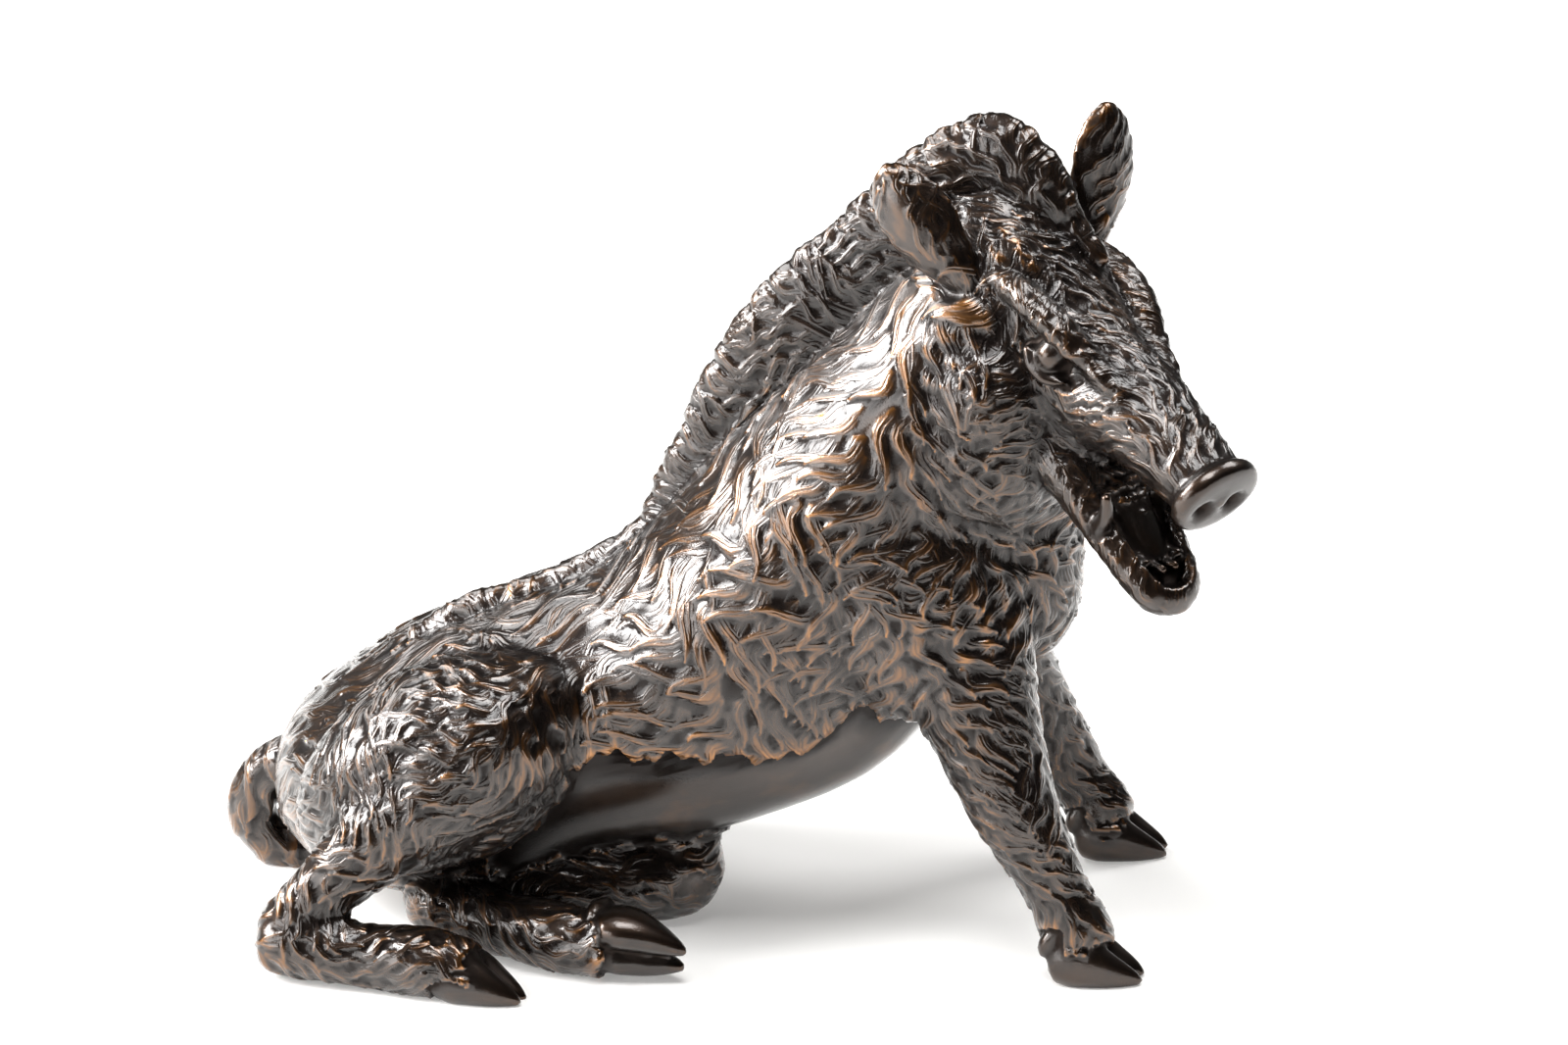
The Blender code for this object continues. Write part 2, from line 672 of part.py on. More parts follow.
def drop_crumbs(shells):
    """Keeps the largest connected shell, in case the level cut frees a crumb of the coat."""
    left, groups = set(shells.verts), []
    while left:
        edge, group = [left.pop()], []
        while edge:
            corner = edge.pop()
            group.append(corner)
            for link in corner.link_edges:
                other = link.other_vert(corner)
                if other in left:
                    left.remove(other)
                    edge.append(other)
        groups.append(group)
    groups.sort(key=len)
    for group in groups[:-1]:
        bmesh.ops.delete(shells, geom=group, context="VERTS")


def stand_flat(mesh):
    """Cuts the figure level at Z = 0, so that hooves, seat and tail rest on flat faces."""
    cut = bmesh.new()
    cut.from_mesh(mesh)
    everything = cut.verts[:] + cut.edges[:] + cut.faces[:]
    bmesh.ops.bisect_plane(cut, geom=everything, plane_co=(0, 0, 0), plane_no=(0, 0, 1), clear_inner=True, dist=0.001)
    drop_crumbs(cut)
    rim = [edge for edge in cut.edges if edge.is_boundary]
    bmesh.ops.holes_fill(cut, edges=rim, sides=0)
    bmesh.ops.triangulate(cut, faces=cut.faces)
    bmesh.ops.recalc_face_normals(cut, faces=cut.faces)
    cut.to_mesh(mesh)
    cut.free()


def bronze():
    """Dark brown patinated bronze."""
    material = bpy.data.materials.new("patinated bronze")
    material.use_nodes = True
    shader = material.node_tree.nodes["Principled BSDF"]
    shader.inputs["Base Color"].default_value = BRONZE
    shader.inputs["Metallic"].default_value = 0.8
    shader.inputs["Roughness"].default_value = 0.36
    return material


def cast_boar():
    """The whole figure as one closed solid."""
    flesh = [trunk(), skull(), shoulder(-1), shoulder(1), haunch(-1), haunch(1), cheek(-1), cheek(1)]
    flesh += [jaw_root()] + chest() + [foreleg(-1), foreleg(1)] + right_hind_leg() + left_hind_leg()
    details = [mane(), tail(), ear(-1), ear(1), brow(-1), brow(1), snout()] + eye(-1) + eye(1) + hooves() + teeth()
    body = as_object("flesh", flesh)
    run_together(body, FLESH_CELL, FLESH_SMOOTHING)
    figure = as_object("boar", [form_of(body), hollowed_jaw()] + details)
    run_together(figure, CAST_CELL, CAST_SMOOTHING)
    coated(figure, flesh + [lower_jaw()] + details)
    thin_out(figure, TRIANGLES)
    stand_flat(figure.data)
    corners = np.array([vertex.co for vertex in figure.data.vertices])
    middle = (corners.min(axis=0) + corners.max(axis=0)) / 2
    figure.data.transform(Matrix.Scale(UNIT, 4))
    figure.location = (-middle[0] * UNIT, -middle[1] * UNIT, 0)
    figure.data.materials.clear()
    figure.data.materials.append(bronze())
    figure.data.shade_flat()
    return figure


def main():
    for old in list(bpy.data.objects):
        bpy.data.objects.remove(old)
    cast_boar()


main()
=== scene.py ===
"""A seated wild boar, cast in bronze in one piece, dark brown under wax.

The boar faces +X, its left side is +Y and it stands on Z = 0. The tables give places and half widths in
millimetres, in the figure's own axes, and the whole casting is set in place once it is carved.
"""

import math

import bmesh
import bpy
import numpy as np
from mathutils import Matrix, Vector


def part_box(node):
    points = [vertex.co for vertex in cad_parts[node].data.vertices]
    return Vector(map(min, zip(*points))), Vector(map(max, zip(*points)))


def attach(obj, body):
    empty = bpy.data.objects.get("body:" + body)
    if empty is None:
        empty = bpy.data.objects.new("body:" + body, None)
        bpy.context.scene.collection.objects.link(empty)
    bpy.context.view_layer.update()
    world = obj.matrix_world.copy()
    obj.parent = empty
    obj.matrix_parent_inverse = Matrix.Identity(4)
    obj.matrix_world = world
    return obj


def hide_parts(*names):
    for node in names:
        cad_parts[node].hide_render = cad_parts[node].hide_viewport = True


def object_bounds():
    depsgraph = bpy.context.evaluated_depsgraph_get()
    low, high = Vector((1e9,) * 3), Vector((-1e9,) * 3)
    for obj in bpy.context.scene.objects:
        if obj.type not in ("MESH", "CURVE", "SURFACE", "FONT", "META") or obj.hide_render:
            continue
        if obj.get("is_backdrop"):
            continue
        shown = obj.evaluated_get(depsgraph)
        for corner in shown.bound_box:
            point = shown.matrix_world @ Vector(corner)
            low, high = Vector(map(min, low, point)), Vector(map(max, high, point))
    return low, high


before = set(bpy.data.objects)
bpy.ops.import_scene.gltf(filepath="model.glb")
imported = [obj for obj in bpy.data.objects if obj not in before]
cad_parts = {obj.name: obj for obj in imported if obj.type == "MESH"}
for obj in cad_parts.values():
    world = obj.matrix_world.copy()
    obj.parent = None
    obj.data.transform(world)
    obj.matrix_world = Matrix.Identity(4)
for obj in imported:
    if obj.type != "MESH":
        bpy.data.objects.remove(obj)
cad_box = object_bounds()


# The body: neck, trunk, rump and the muscles that lie over them. In the wax each muscle was a pad of its own,
# pressed on and eased into its neighbours. It is hollow bronze with walls of about 4 mm.
SIDEWAYS = np.array([0.0, 1.0, 0.0])
BELLY_TOP = 86.0
BELLY_SHARE = -0.62
BACK_SHARE = 0.55
CAP_BULGE = 0.4
EGG_END = math.pi / 2 - 0.12


def unit(vectors):
    """Each vector divided by its length."""
    vectors = np.asarray(vectors, float)
    return vectors / np.maximum(np.linalg.norm(vectors, axis=-1, keepdims=True), 1e-9)


def spline(rows, count):
    """Catmull-Rom curve: b + t/2 (c-a + t (2a-5b+4c-d + t (3b-3c+d-a))) between rows b and c."""
    rows = np.array(rows, float)
    place = np.linspace(0, len(rows) - 1, count)
    first = np.clip(place.astype(int), 0, len(rows) - 2)
    t = (place - first)[:, None]
    padded = np.vstack([2 * rows[0] - rows[1], rows, 2 * rows[-1] - rows[-2]])
    a, b, c, d = (padded[first + k] for k in range(4))
    return b + 0.5 * t * (c - a + t * (2 * a - 5 * b + 4 * c - d + t * (3 * (b - c) + d - a)))


class Form:
    """One form of the figure: points, triangles, and how its coat runs at each point."""

    def __init__(self, points, triangles, along=None, outward=None, coats=None):
        self.points, self.triangles = points, triangles
        self.along, self.outward, self.coats = along, outward, coats


def loft(rows, across, coat, rings=22, sides=22, dish=0.0):
    """A closed form along a table of (x, y, z, half width, half height up, half height down).

    Point(t, a) = centre(t) + side(t) w(t) cos a + up(t) h(t) sin a, plus dish w (cos² a - 1/2) along up.
    The side lies square to the path, and three more numbers in a row say where its up points instead. A
    flank turns to belly where sin a is under BELLY_SHARE, below BELLY_TOP, and to back over BACK_SHARE.
    """
    rows = spline(rows, rings)
    centre, wide, high, low = rows[:, :3], rows[:, 3], rows[:, 4], rows[:, 5]
    along = unit(np.gradient(centre, axis=0))
    side = unit(across - (along @ across)[:, None] * along)
    up = np.cross(along, side)
    if rows.shape[1] > 6:
        up = unit(rows[:, 6:9])
    turn = np.linspace(0, 2 * math.pi, sides, endpoint=False)
    c, s = np.cos(turn)[None, :, None], np.sin(turn)[None, :, None]
    tall = np.where(s > 0, high[:, None, None], low[:, None, None])
    rise = tall * s + dish * wide[:, None, None] * (c * c - 0.5)
    points = centre[:, None] + side[:, None] * wide[:, None, None] * c + up[:, None] * rise
    bulge = along * wide[:, None] * CAP_BULGE
    ends = np.array([centre[0] - bulge[0], centre[-1] + bulge[-1]])
    ring, step = np.meshgrid(np.arange(rings - 1), np.arange(sides), indexing="ij")
    ahead = (step + 1) % sides
    here, above = ring * sides, (ring + 1) * sides
    corner = np.stack([here + step, here + ahead, above + ahead, above + step], -1).reshape(-1, 4)
    round_end, behind = np.arange(sides), (np.arange(sides) + 1) % sides
    first = np.full(sides, rings * sides)
    caps = [
        np.column_stack([first, behind, round_end]),
        np.column_stack([first + 1, first - sides + round_end, first - sides + behind]),
    ]
    names = np.full((rings, sides), coat, dtype=object)
    if coat == "flank":
        names[(np.sin(turn)[None] < BELLY_SHARE) & (centre[:, 2:] < BELLY_TOP)] = "belly"
        names[np.repeat(np.sin(turn)[None] > BACK_SHARE, rings, axis=0)] = "back"
    return Form(
        np.vstack([points.reshape(-1, 3), ends]),
        np.vstack([corner[:, [0, 1, 2]], corner[:, [0, 2, 3]], *caps]),
        np.vstack([np.repeat(along, sides, axis=0), along[:1], along[-1:]]),
        np.vstack([np.repeat(up, sides, axis=0), up[:1], up[-1:]]),
        list(names.reshape(-1)) + [names[0, 0], names[-1, 0]],
    )


def egg(centre, radii, along, coat):
    """An egg-shaped muscle: a loft whose half widths follow sqrt(1 - s²) along its axis.

    The steps s are the sines of even turns from -EGG_END to EGG_END, so that they close up to the ends.
    """
    steps = np.sin(np.linspace(-EGG_END, EGG_END, 12))
    along = unit(along)
    size = np.sqrt(((along * radii) ** 2).sum())
    round_off = np.sqrt(1 - steps**2)
    side = unit(np.cross([0.13, 0.11, 1.0], along))
    up = np.cross(along, side)
    across = np.sqrt(((side * radii) ** 2).sum())
    tall = np.sqrt(((up * radii) ** 2).sum())
    path = np.array(centre) + np.outer(steps * size, along)
    rows = np.column_stack([path, across * round_off, tall * round_off, tall * round_off])
    return loft(rows, side, coat, rings=14, sides=18)


TRUNK = [
    (63, -6, 147, 13, 9, 12),
    (54, -4, 136, 21, 15, 27),
    (44, -1, 120, 26, 20, 34),
    (32, 0, 100, 30, 25, 41),
    (18, 0, 81, 32, 27, 41),
    (2, 0, 64, 32, 25, 43),
    (-16, 0, 51, 31, 23, 37),
    (-36, 0, 44, 31, 21, 35),
    (-56, 2, 36, 33, 19, 42),
    (-72, 3, 27, 31, 17, 34),
    (-81, 3, 20, 25, 14, 26),
    (-86, 3, 16, 14, 9, 16),
]
RIGHT_HAUNCH = [
    (-31, -28, 55, 5, 6, 7),
    (-37, -28.5, 52, 12, 11, 14),
    (-46, -28.5, 47, 16, 15, 20),
    (-56, -28, 41, 17.5, 16.5, 22),
    (-66, -27, 33, 16, 15.5, 19),
    (-74, -26, 25, 11, 12, 13),
    (-79, -25, 20, 5, 6, 6),
]
trunk = loft(TRUNK, -SIDEWAYS, "flank", rings=40, sides=36)
muscles = [
    egg((37, -19, 78), (19, 14, 30), (0.45, -0.1, -0.9), "shoulder"),
    egg((37, 19, 78), (19, 14, 30), (0.45, 0.1, -0.9), "shoulder"),
    loft(RIGHT_HAUNCH, -SIDEWAYS, "haunch", rings=18, sides=18),
    egg((-52, 20, 25), (31, 15, 26), (-0.2, 0.1, -1), "haunch"),
    egg((52, -3, 84), (15, 19, 28), (0.3, 0, -1), "breast"),
    egg((54, -13, 112), (17, 18, 23), (-0.3, -0.3, -1), "ruff"),
    egg((46, 9, 130), (15, 15, 22), (-0.4, 0.2, -1), "ruff"),
    egg((56, 6, 116), (14, 15, 22), (-0.3, 0.2, -1), "breast"),
]


# The mane: a crest of bristles that stands up along the spine, from the hips to the poll. It is a blade about
# 6 mm thick, cast with the body, and its edge is cut into short clumps of uneven length.
MANE_RISE = 21.0
MANE_DRAWN = 20.0
MANE_RINGS = 240
MANE_CLUMP = 4.2
MANE_NICK = 0.06
CLUMP_SWINGS = ((1.1, 0.31), (0.7, 0.83))
# Each row is a place on the spine and the way the bristles stand there, in a crest MANE_DRAWN mm tall.
MANE = np.array(
    [
        (70, -9, 142, 5, -3, 3.5),
        (65.5, -7.5, 144.5, 4.5, -2, 8),
        (61, -6, 148, 3, -1, 16),
        (57, -4, 150, -2, 0, 20),
        (54, -3, 149, -8, 1, 18.5),
        (49, -2, 146, -12, 1, 15.5),
        (41, -1, 138, -17, 1, 10),
        (30, 0, 126, -18, 0, 10.5),
        (22, 0, 117, -18.5, 0, 9.5),
        (13, 0, 105, -17.5, 0, 7),
        (5, 0, 96, -14.5, 0, 4.5),
        (-3, 0, 84, -11.5, 0, 5),
        (-12, 0, 73, -7.5, 0, 6.5),
        (-33, 0, 61, -3, 0, 8),
        (-52, 1, 54, -2, 0, 8),
        (-61, 1, 47, -3, 0, 8),
    ],
    float,
)
stand = MANE[:, 3:] * MANE_RISE / MANE_DRAWN
rise = np.linalg.norm(stand, axis=1, keepdims=True)
blade_half, sunk = 1.8 + 0.2 * rise, 0.4 * rise + 3
mane_rows = spline(np.hstack([MANE[:, :3], blade_half, rise, sunk, unit(stand)]), MANE_RINGS)
mane_edge = mane_rows[:, :3] + mane_rows[:, 6:] * mane_rows[:, 4:5]
edge_length = np.concatenate([[0], np.cumsum(np.linalg.norm(np.diff(mane_edge, axis=0), axis=1))])
clump_turn = math.pi * edge_length / MANE_CLUMP
for swing, rate in CLUMP_SWINGS:
    clump_turn = clump_turn + swing * np.sin(rate * edge_length)
mane_rows[:, 4] *= 1 - MANE_NICK * np.abs(np.sin(clump_turn)) ** 6
mane = loft(mane_rows, -SIDEWAYS, "mane", rings=MANE_RINGS, sides=24)


# The legs: two straight forelegs braced forwards, the right hind leg drawn up with its cannon along the
# ground, and the left hind leg folded under the belly with its foot out on the right.
FORELEG_RIGHT = [
    (43, -18, 78, 11, 17, 18),
    (50, -23, 58, 10.5, 13, 12),
    (55.5, -26.5, 44, 9, 10, 9.5),
    (60, -29.5, 34, 7.6, 8.2, 8),
    (65, -30.5, 25, 6.4, 6.8, 6.5),
    (68.5, -31, 18, 5.5, 5.9, 6),
    (71.5, -31.3, 11.5, 6.2, 6.9, 6.4),
    (74.5, -31.3, 6, 6, 6.5, 6),
]
FORELEG_LEFT = [
    (40, 16, 78, 10, 18, 19),
    (47, 21, 58, 10, 13, 13),
    (53, 25, 44, 8.8, 9.6, 9.6),
    (58.5, 28.5, 33, 7.2, 7.8, 7.6),
    (64, 30.5, 23, 6.2, 6.6, 6.4),
    (68, 31.2, 15.5, 5.4, 5.8, 6),
    (71.5, 31.3, 10.5, 6, 6.6, 6.2),
    (74, 31.3, 6, 5.8, 6.2, 6),
]
RIGHT_SHANK = [
    (-40, -34, 50, 10, 13, 15),
    (-46, -37, 43, 10, 11, 14),
    (-56, -40, 35, 9, 10, 11),
    (-67, -42.5, 27, 7.2, 8, 8.5),
    (-78, -45, 16.5, 5.4, 5.8, 6),
    (-86, -46, 8.5, 5.2, 5.4, 5.4),
]
RIGHT_CANNON = [
    (-88, -46.5, 6.6, 5.4, 5.4, 6.6),
    (-76, -48.6, 6.4, 5.6, 5.6, 6.4),
    (-66, -50, 6.2, 5.5, 5.8, 6.2),
    (-57, -51.6, 6.6, 6.4, 7, 6.6),
    (-50, -53, 6.2, 5.4, 6, 6.2),
    (-45, -54, 6, 5.4, 5.4, 6),
]
LEFT_THIGH = [
    (-50, 14, 30, 12, 14, 14),
    (-34, 6, 20, 12, 12, 12),
    (-20, -3, 13, 10.5, 10.5, 11),
    (-9, -8, 10.5, 10, 9.5, 10.5),
    (-3, -8, 10, 6, 6, 7),
]
LEFT_SHANK = [
    (-8, -8, 10, 9, 9, 10),
    (-22, -12, 9.5, 9, 9, 9.5),
    (-40, -17, 8.6, 7.2, 7.2, 8.6),
    (-56, -21.5, 7.4, 5.8, 6, 7.4),
    (-61, -23, 6.6, 4, 4, 5),
]
LEFT_CANNON = [
    (-61, -23, 6.8, 4.5, 5, 6.8),
    (-55, -26, 6.6, 6, 6, 6.6),
    (-43, -31.5, 6.4, 5.8, 5.6, 6.4),
    (-31, -37, 6.6, 6.4, 6.6, 6.6),
    (-24, -40, 6.2, 5.4, 5.8, 6.2),
    (-19, -42, 6, 5.4, 5.4, 6),
]
legs = [
    loft(FORELEG_RIGHT, SIDEWAYS, "leg", rings=26, sides=18),
    loft(FORELEG_LEFT, SIDEWAYS, "leg", rings=26, sides=18),
    loft(RIGHT_SHANK, SIDEWAYS, "leg", rings=22, sides=18),
    loft(RIGHT_CANNON, -SIDEWAYS, "leg", rings=20, sides=18),
    loft(LEFT_THIGH, -SIDEWAYS, "leg", rings=18, sides=18),
    loft(LEFT_SHANK, -SIDEWAYS, "leg", rings=20, sides=18),
    loft(LEFT_CANNON, -SIDEWAYS, "leg", rings=20, sides=18),
]


# The hooves: each has two claws side by side and two dew claws, filed smooth in the metal. The left hind hoof
# lies on its side.
HOOF_LENGTH = 18.5
CLAW_WIDTH = 0.19
CLAWS_APART = 0.93
CLAW = np.array(
    [
        (0.02, 1.0, 0.16, 0.7, 0.20, 0.16),
        (0.20, 1.0, 0.20, 1.0, 0.36, 0.24),
        (0.42, 1.0, 0.18, 1.0, 0.34, 0.22),
        (0.66, 0.88, 0.13, 0.80, 0.22, 0.17),
        (0.86, 0.70, 0.08, 0.52, 0.12, 0.10),
        (0.98, 0.58, 0.04, 0.25, 0.04, 0.04),
    ]
)
DEW_CLAW = np.array([(0.10, 0.8, 0.62), (-0.03, 1.0, 0.46), (-0.08, 1.05, 0.32)])
DEW_CLAW_THICK = np.array([[2.0, 2, 2], [2.0, 2, 2], [0.9, 1, 1]])


def hoof(heel, heading, up):
    """Four lofts on the hoof's own axes: two claws and two dew claws, mirrored to the left and right."""
    heading = unit(heading)
    side = unit(np.cross(up, heading))
    axes = np.array([heading, side, np.cross(heading, side)])
    width = CLAW_WIDTH * HOOF_LENGTH
    forms = []
    for hand in (-1, 1):
        sideways = hand * CLAW[:, 1] * width * CLAWS_APART
        place = np.column_stack([CLAW[:, 0] * HOOF_LENGTH, sideways, CLAW[:, 2] * HOOF_LENGTH])
        rows = np.hstack([heel + place @ axes, CLAW[:, 3:4] * width, CLAW[:, 4:] * HOOF_LENGTH])
        forms.append(loft(rows, side, "horn", rings=14, sides=14))
        spur = heel + (DEW_CLAW * (HOOF_LENGTH, width * hand, HOOF_LENGTH)) @ axes
        forms.append(loft(np.hstack([spur, DEW_CLAW_THICK]), side, "horn", rings=8, sides=10))
    return forms


hooves = (
    hoof(np.array([67.5, -31.3, 0]), (1, -0.03, 0), (0, 0, 1))
    + hoof(np.array([67.5, 31.3, 0]), (1, 0.03, 0), (0, 0, 1))
    + hoof(np.array([-53.5, -52.2, -0.4]), (1, -0.17, 0), (0, 0.22, 1))
    + hoof(np.array([-22.5, -45.6, 7.4]), (0.97, 0.08, -0.12), (-0.12, 0.93, 0.3))
)


# The tail: a thick cord of hair that leaves the rump, drops to the ground and curls back in a small ring.
TAIL_THICKNESS = 8.6
TAIL = np.array(
    [
        (-76, 4, 25, 1.2),
        (-87, 6, 25, 1.1),
        (-95, 7.5, 20.5, 1.0),
        (-99, 8.5, 12, 1.0),
        (-95.5, 9.5, 5.2, 1.0),
        (-89, 10, 3.4, 1.0),
        (-82, 10, 4.2, 0.9),
        (-75, 10, 7, 0.7),
    ]
)
tail_half = TAIL[:, 3:] * TAIL_THICKNESS / 2
tail = loft(np.hstack([TAIL[:, :3], tail_half, tail_half, tail_half]), SIDEWAYS, "tail", rings=34, sides=16)


# The head: a long wedge turned to the boar's right and bowed, with its mouth open. Snout disc, tusks and
# tongue were added to the wax with a hot tool, and the eyes are drilled.
POLL = np.array([59.0, -6.4, 143.3])
HEAD_TURN = math.radians(43.0)
HEAD_BOW = math.radians(31.5)
SNOUT_WIDTH = 20.0
EAR_LENGTH = 26.5
EAR_DISH = 0.34
FORWARD = np.array([math.cos(HEAD_TURN), -math.sin(HEAD_TURN), 0.0]) * math.cos(HEAD_BOW)
FORWARD[2] = -math.sin(HEAD_BOW)
LEFT = np.array([math.sin(HEAD_TURN), math.cos(HEAD_TURN), 0.0])
UP = np.cross(FORWARD, LEFT)


def on_head(rows):
    """Rows given as forward, left and up of the poll, put in the boar's own axes."""
    rows = np.array(rows, float)
    rows[:, :3] = POLL + rows[:, :3] @ np.array([FORWARD, LEFT, UP])
    return rows


SKULL = [
    (63.5, 0, 0, 8.2, 7.0, 7.0),
    (59, 0, 0, 8.4, 7.2, 7.2),
    (51, 0, -0.5, 9.0, 8.0, 8),
    (41, 0, -2, 10.4, 9.6, 9.6),
    (31, 0, -4, 11.6, 11.4, 14),
    (20, 0, -5, 13.6, 13.2, 19),
    (8, 0, -6, 16.2, 16.5, 23),
    (-5, 0, -6, 17.5, 18, 25),
    (-15, 0, -8, 14, 14, 22),
    (-21, 0, -10, 9, 9, 14),
]
JAW_ROOT = [
    (47, 0, -21.5, 8, 3.6, 5.5),
    (39, 0, -20, 11.2, 5.5, 8),
    (28, 0, -19, 13.6, 10, 10),
    (17, 0, -19, 14, 10, 10),
]
LOWER_JAW = [
    (70, 0, -27.5, 4.2, 2.6, 3.2),
    (66.5, 0, -26.8, 7.4, 3.8, 4.8),
    (58, 0, -24.8, 9.2, 4.6, 5.6),
    (48, 0, -22.4, 10.8, 5, 6.8),
    (36, 0, -20, 12.6, 6.4, 8.2),
    (22, 0, -19, 13.5, 9, 9.5),
]
JAW_TROUGH = [
    (68, 0, -22.5, 3.6, 4, 3.6),
    (64, 0, -21.5, 5.6, 5, 5.2),
    (56, 0, -19.5, 7, 6, 5.4),
    (46, 0, -16.6, 8.4, 6, 5.4),
    (36, 0, -14.4, 9, 3, 4),
]
TONGUE = [
    (34, 0, -16, 5, 3, 4),
    (46, 0, -19.4, 5, 2.6, 3),
    (56, 0, -22.8, 4.2, 2, 2),
    (60, 0, -24, 2.4, 1.2, 1.4),
]


def face_features(side):
    """Brow ridge, eyeball, lower lid, tusk and front teeth of one side of the face, each a small loft."""
    brow = [
        (40, 5.8 * side, 4.4, 2.2, 1.2, 2.4),
        (30, 8.6 * side, 4.8, 2.8, 1.7, 3),
        (21, 11.0 * side, 6.4, 3.2, 2.1, 3.4),
        (12, 12.0 * side, 5.8, 3.0, 1.9, 3),
        (4, 12.0 * side, 3.6, 2.2, 1.4, 3),
    ]
    lid = [
        (19.5, 14.2 * side, -0.3, 1.1, 1.1, 1.1),
        (22.5, 14.5 * side, -2.5, 1.3, 1.3, 1.3),
        (26.5, 13.6 * side, -2.7, 1.3, 1.3, 1.3),
        (30, 11.8 * side, -0.4, 1.1, 1.1, 1.1),
    ]
    tusk = [
        (50.5, 8.6 * side, -23, 2.0, 2.0, 2.0),
        (51.5, 9.8 * side, -17.5, 1.7, 1.7, 1.7),
        (50, 11 * side, -12.5, 1.1, 1.1, 1.1),
    ]
    forms = [
        loft(on_head(brow), -LEFT, "brow", rings=16, sides=12),
        egg(on_head([(24.0, 11.8 * side, 1.2)])[0], (3.4, 3.4, 3.4), FORWARD, "horn"),
        loft(on_head(lid), UP, "horn", rings=12, sides=10),
        loft(on_head(tusk), FORWARD, "horn", rings=9, sides=10),
    ]
    for step in (0, 1):
        root = (64 - 2.6 * step, (1.6 + 2.6 * step) * side)
        tooth = [(root[0] - 4, root[1], -25.5, 1.1, 1.2, 1.2), (root[0] + 0.4, root[1], -22.6, 1.0, 1, 1)]
        forms.append(loft(on_head(tooth), LEFT, "horn", rings=5, sides=8))
    return forms


def ear(side):
    """One ear, a dished leaf along its own axis. The right ear is laid back and the left one stands."""
    way = unit((-0.88, 0.26 * side, 0.40)) if side < 0 else unit((-0.58, 0.10, 0.81))
    root = np.array([1.0, 18.0 * side, 0.5])
    share = np.array([-0.12, 0.10, 0.34, 0.58, 0.80, 0.95, 1.0])
    wide = np.array([3.4, 4.8, 6.9, 7.5, 6.2, 3.8, 1.8])
    bend = np.array([-3.0, -0.8, 0.8, 1.2, 1.0, 0.4, 0.0])
    places = root + np.outer(share * EAR_LENGTH, way) + np.outer(bend, (0.3, side, 0.2))
    thick = np.array([2.6, 1.9, 1.4, 1.25, 1.2, 1.1, 0.9])
    facing = unit((0.55, 0.55 * side, 0.25)) if side < 0 else unit((0.75, -0.10, 0.45))
    across = unit(np.cross(way, facing)) @ np.array([FORWARD, LEFT, UP])
    rows = on_head(np.column_stack([places, wide, thick, thick]))
    return loft(rows, across, "ear", rings=20, sides=20, dish=EAR_DISH)


half = SNOUT_WIDTH / 2
SNOUT = [
    (67.0, 0, 0.2, 0.20 * half, 0.18 * half, 0.18 * half),
    (66.9, 0, 0.2, 0.60 * half, 0.54 * half, 0.53 * half),
    (66.6, 0, 0.2, 0.92 * half, 0.82 * half, 0.81 * half),
    (65.6, 0, 0.2, 1.00 * half, 0.89 * half, 0.88 * half),
    (63.6, 0, 0.2, 1.00 * half, 0.89 * half, 0.88 * half),
    (62.2, 0, 0.2, 0.84 * half, 0.76 * half, 0.76 * half),
]
skull = loft(on_head(SKULL), -LEFT, "head", rings=34, sides=28)
cheek_way = -FORWARD + np.array([0, 0, -0.5])
cheeks = [egg(on_head([(17, 13.5 * side, -18)])[0], (15, 10, 14), cheek_way, "cheek") for side in (-1, 1)]
jaw_root = loft(on_head(JAW_ROOT), -LEFT, "cheek", rings=14, sides=20)
lower_jaw = loft(on_head(LOWER_JAW), -LEFT, "lip", rings=20, sides=24)
trough = loft(on_head(JAW_TROUGH), -LEFT, "horn", rings=14, sides=20)
tongue = loft(on_head(TONGUE), LEFT, "horn", rings=12, sides=12)
snout = loft(on_head(SNOUT), -LEFT, "horn", rings=14, sides=28)


# The casting: all the forms run together into one skin of bronze. The flesh is eased most, and the crisp
# details are melted in after it, as a modeller works the wax from the big forms to the small ones.
FLESH_CELL = 1.5
FLESH_SMOOTHING = 14
SKIN_CELL = 0.55
SKIN_SMOOTHING = 7


def as_object(name, forms):
    """One mesh object holding the given forms side by side, each shell facing out."""
    starts = np.cumsum([0] + [len(form.points) for form in forms])
    mesh = bpy.data.meshes.new(name)
    triangles = np.vstack([form.triangles + start for form, start in zip(forms, starts)])
    mesh.from_pydata(np.vstack([form.points for form in forms]), [], triangles)
    shells = bmesh.new()
    shells.from_mesh(mesh)
    bmesh.ops.recalc_face_normals(shells, faces=shells.faces)
    shells.to_mesh(mesh)
    shells.free()
    shaped = bpy.data.objects.new(name, mesh)
    bpy.context.scene.collection.objects.link(shaped)
    return shaped


def bake(shaped):
    """Turns an object's modifiers into its own mesh."""
    bpy.context.view_layer.update()
    graph = bpy.context.evaluated_depsgraph_get()
    mesh = bpy.data.meshes.new_from_object(shaped.evaluated_get(graph))
    shaped.modifiers.clear()
    shaped.data = mesh


def run_together(shaped, cell, smoothing):
    """Melts overlapping forms into one skin of small squares, and eases the creases between them."""
    remesh = shaped.modifiers.new("One skin", "REMESH")
    remesh.mode = "VOXEL"
    remesh.voxel_size = cell
    ease = shaped.modifiers.new("Eased creases", "SMOOTH")
    ease.factor = 0.5
    ease.iterations = smoothing
    bake(shaped)


def points_of(mesh, what="co"):
    """The places or normals of a mesh's vertices, as one array of rows."""
    values = np.empty(len(mesh.vertices) * 3, np.float32)
    mesh.vertices.foreach_get(what, values)
    return values.reshape(-1, 3).astype(float)


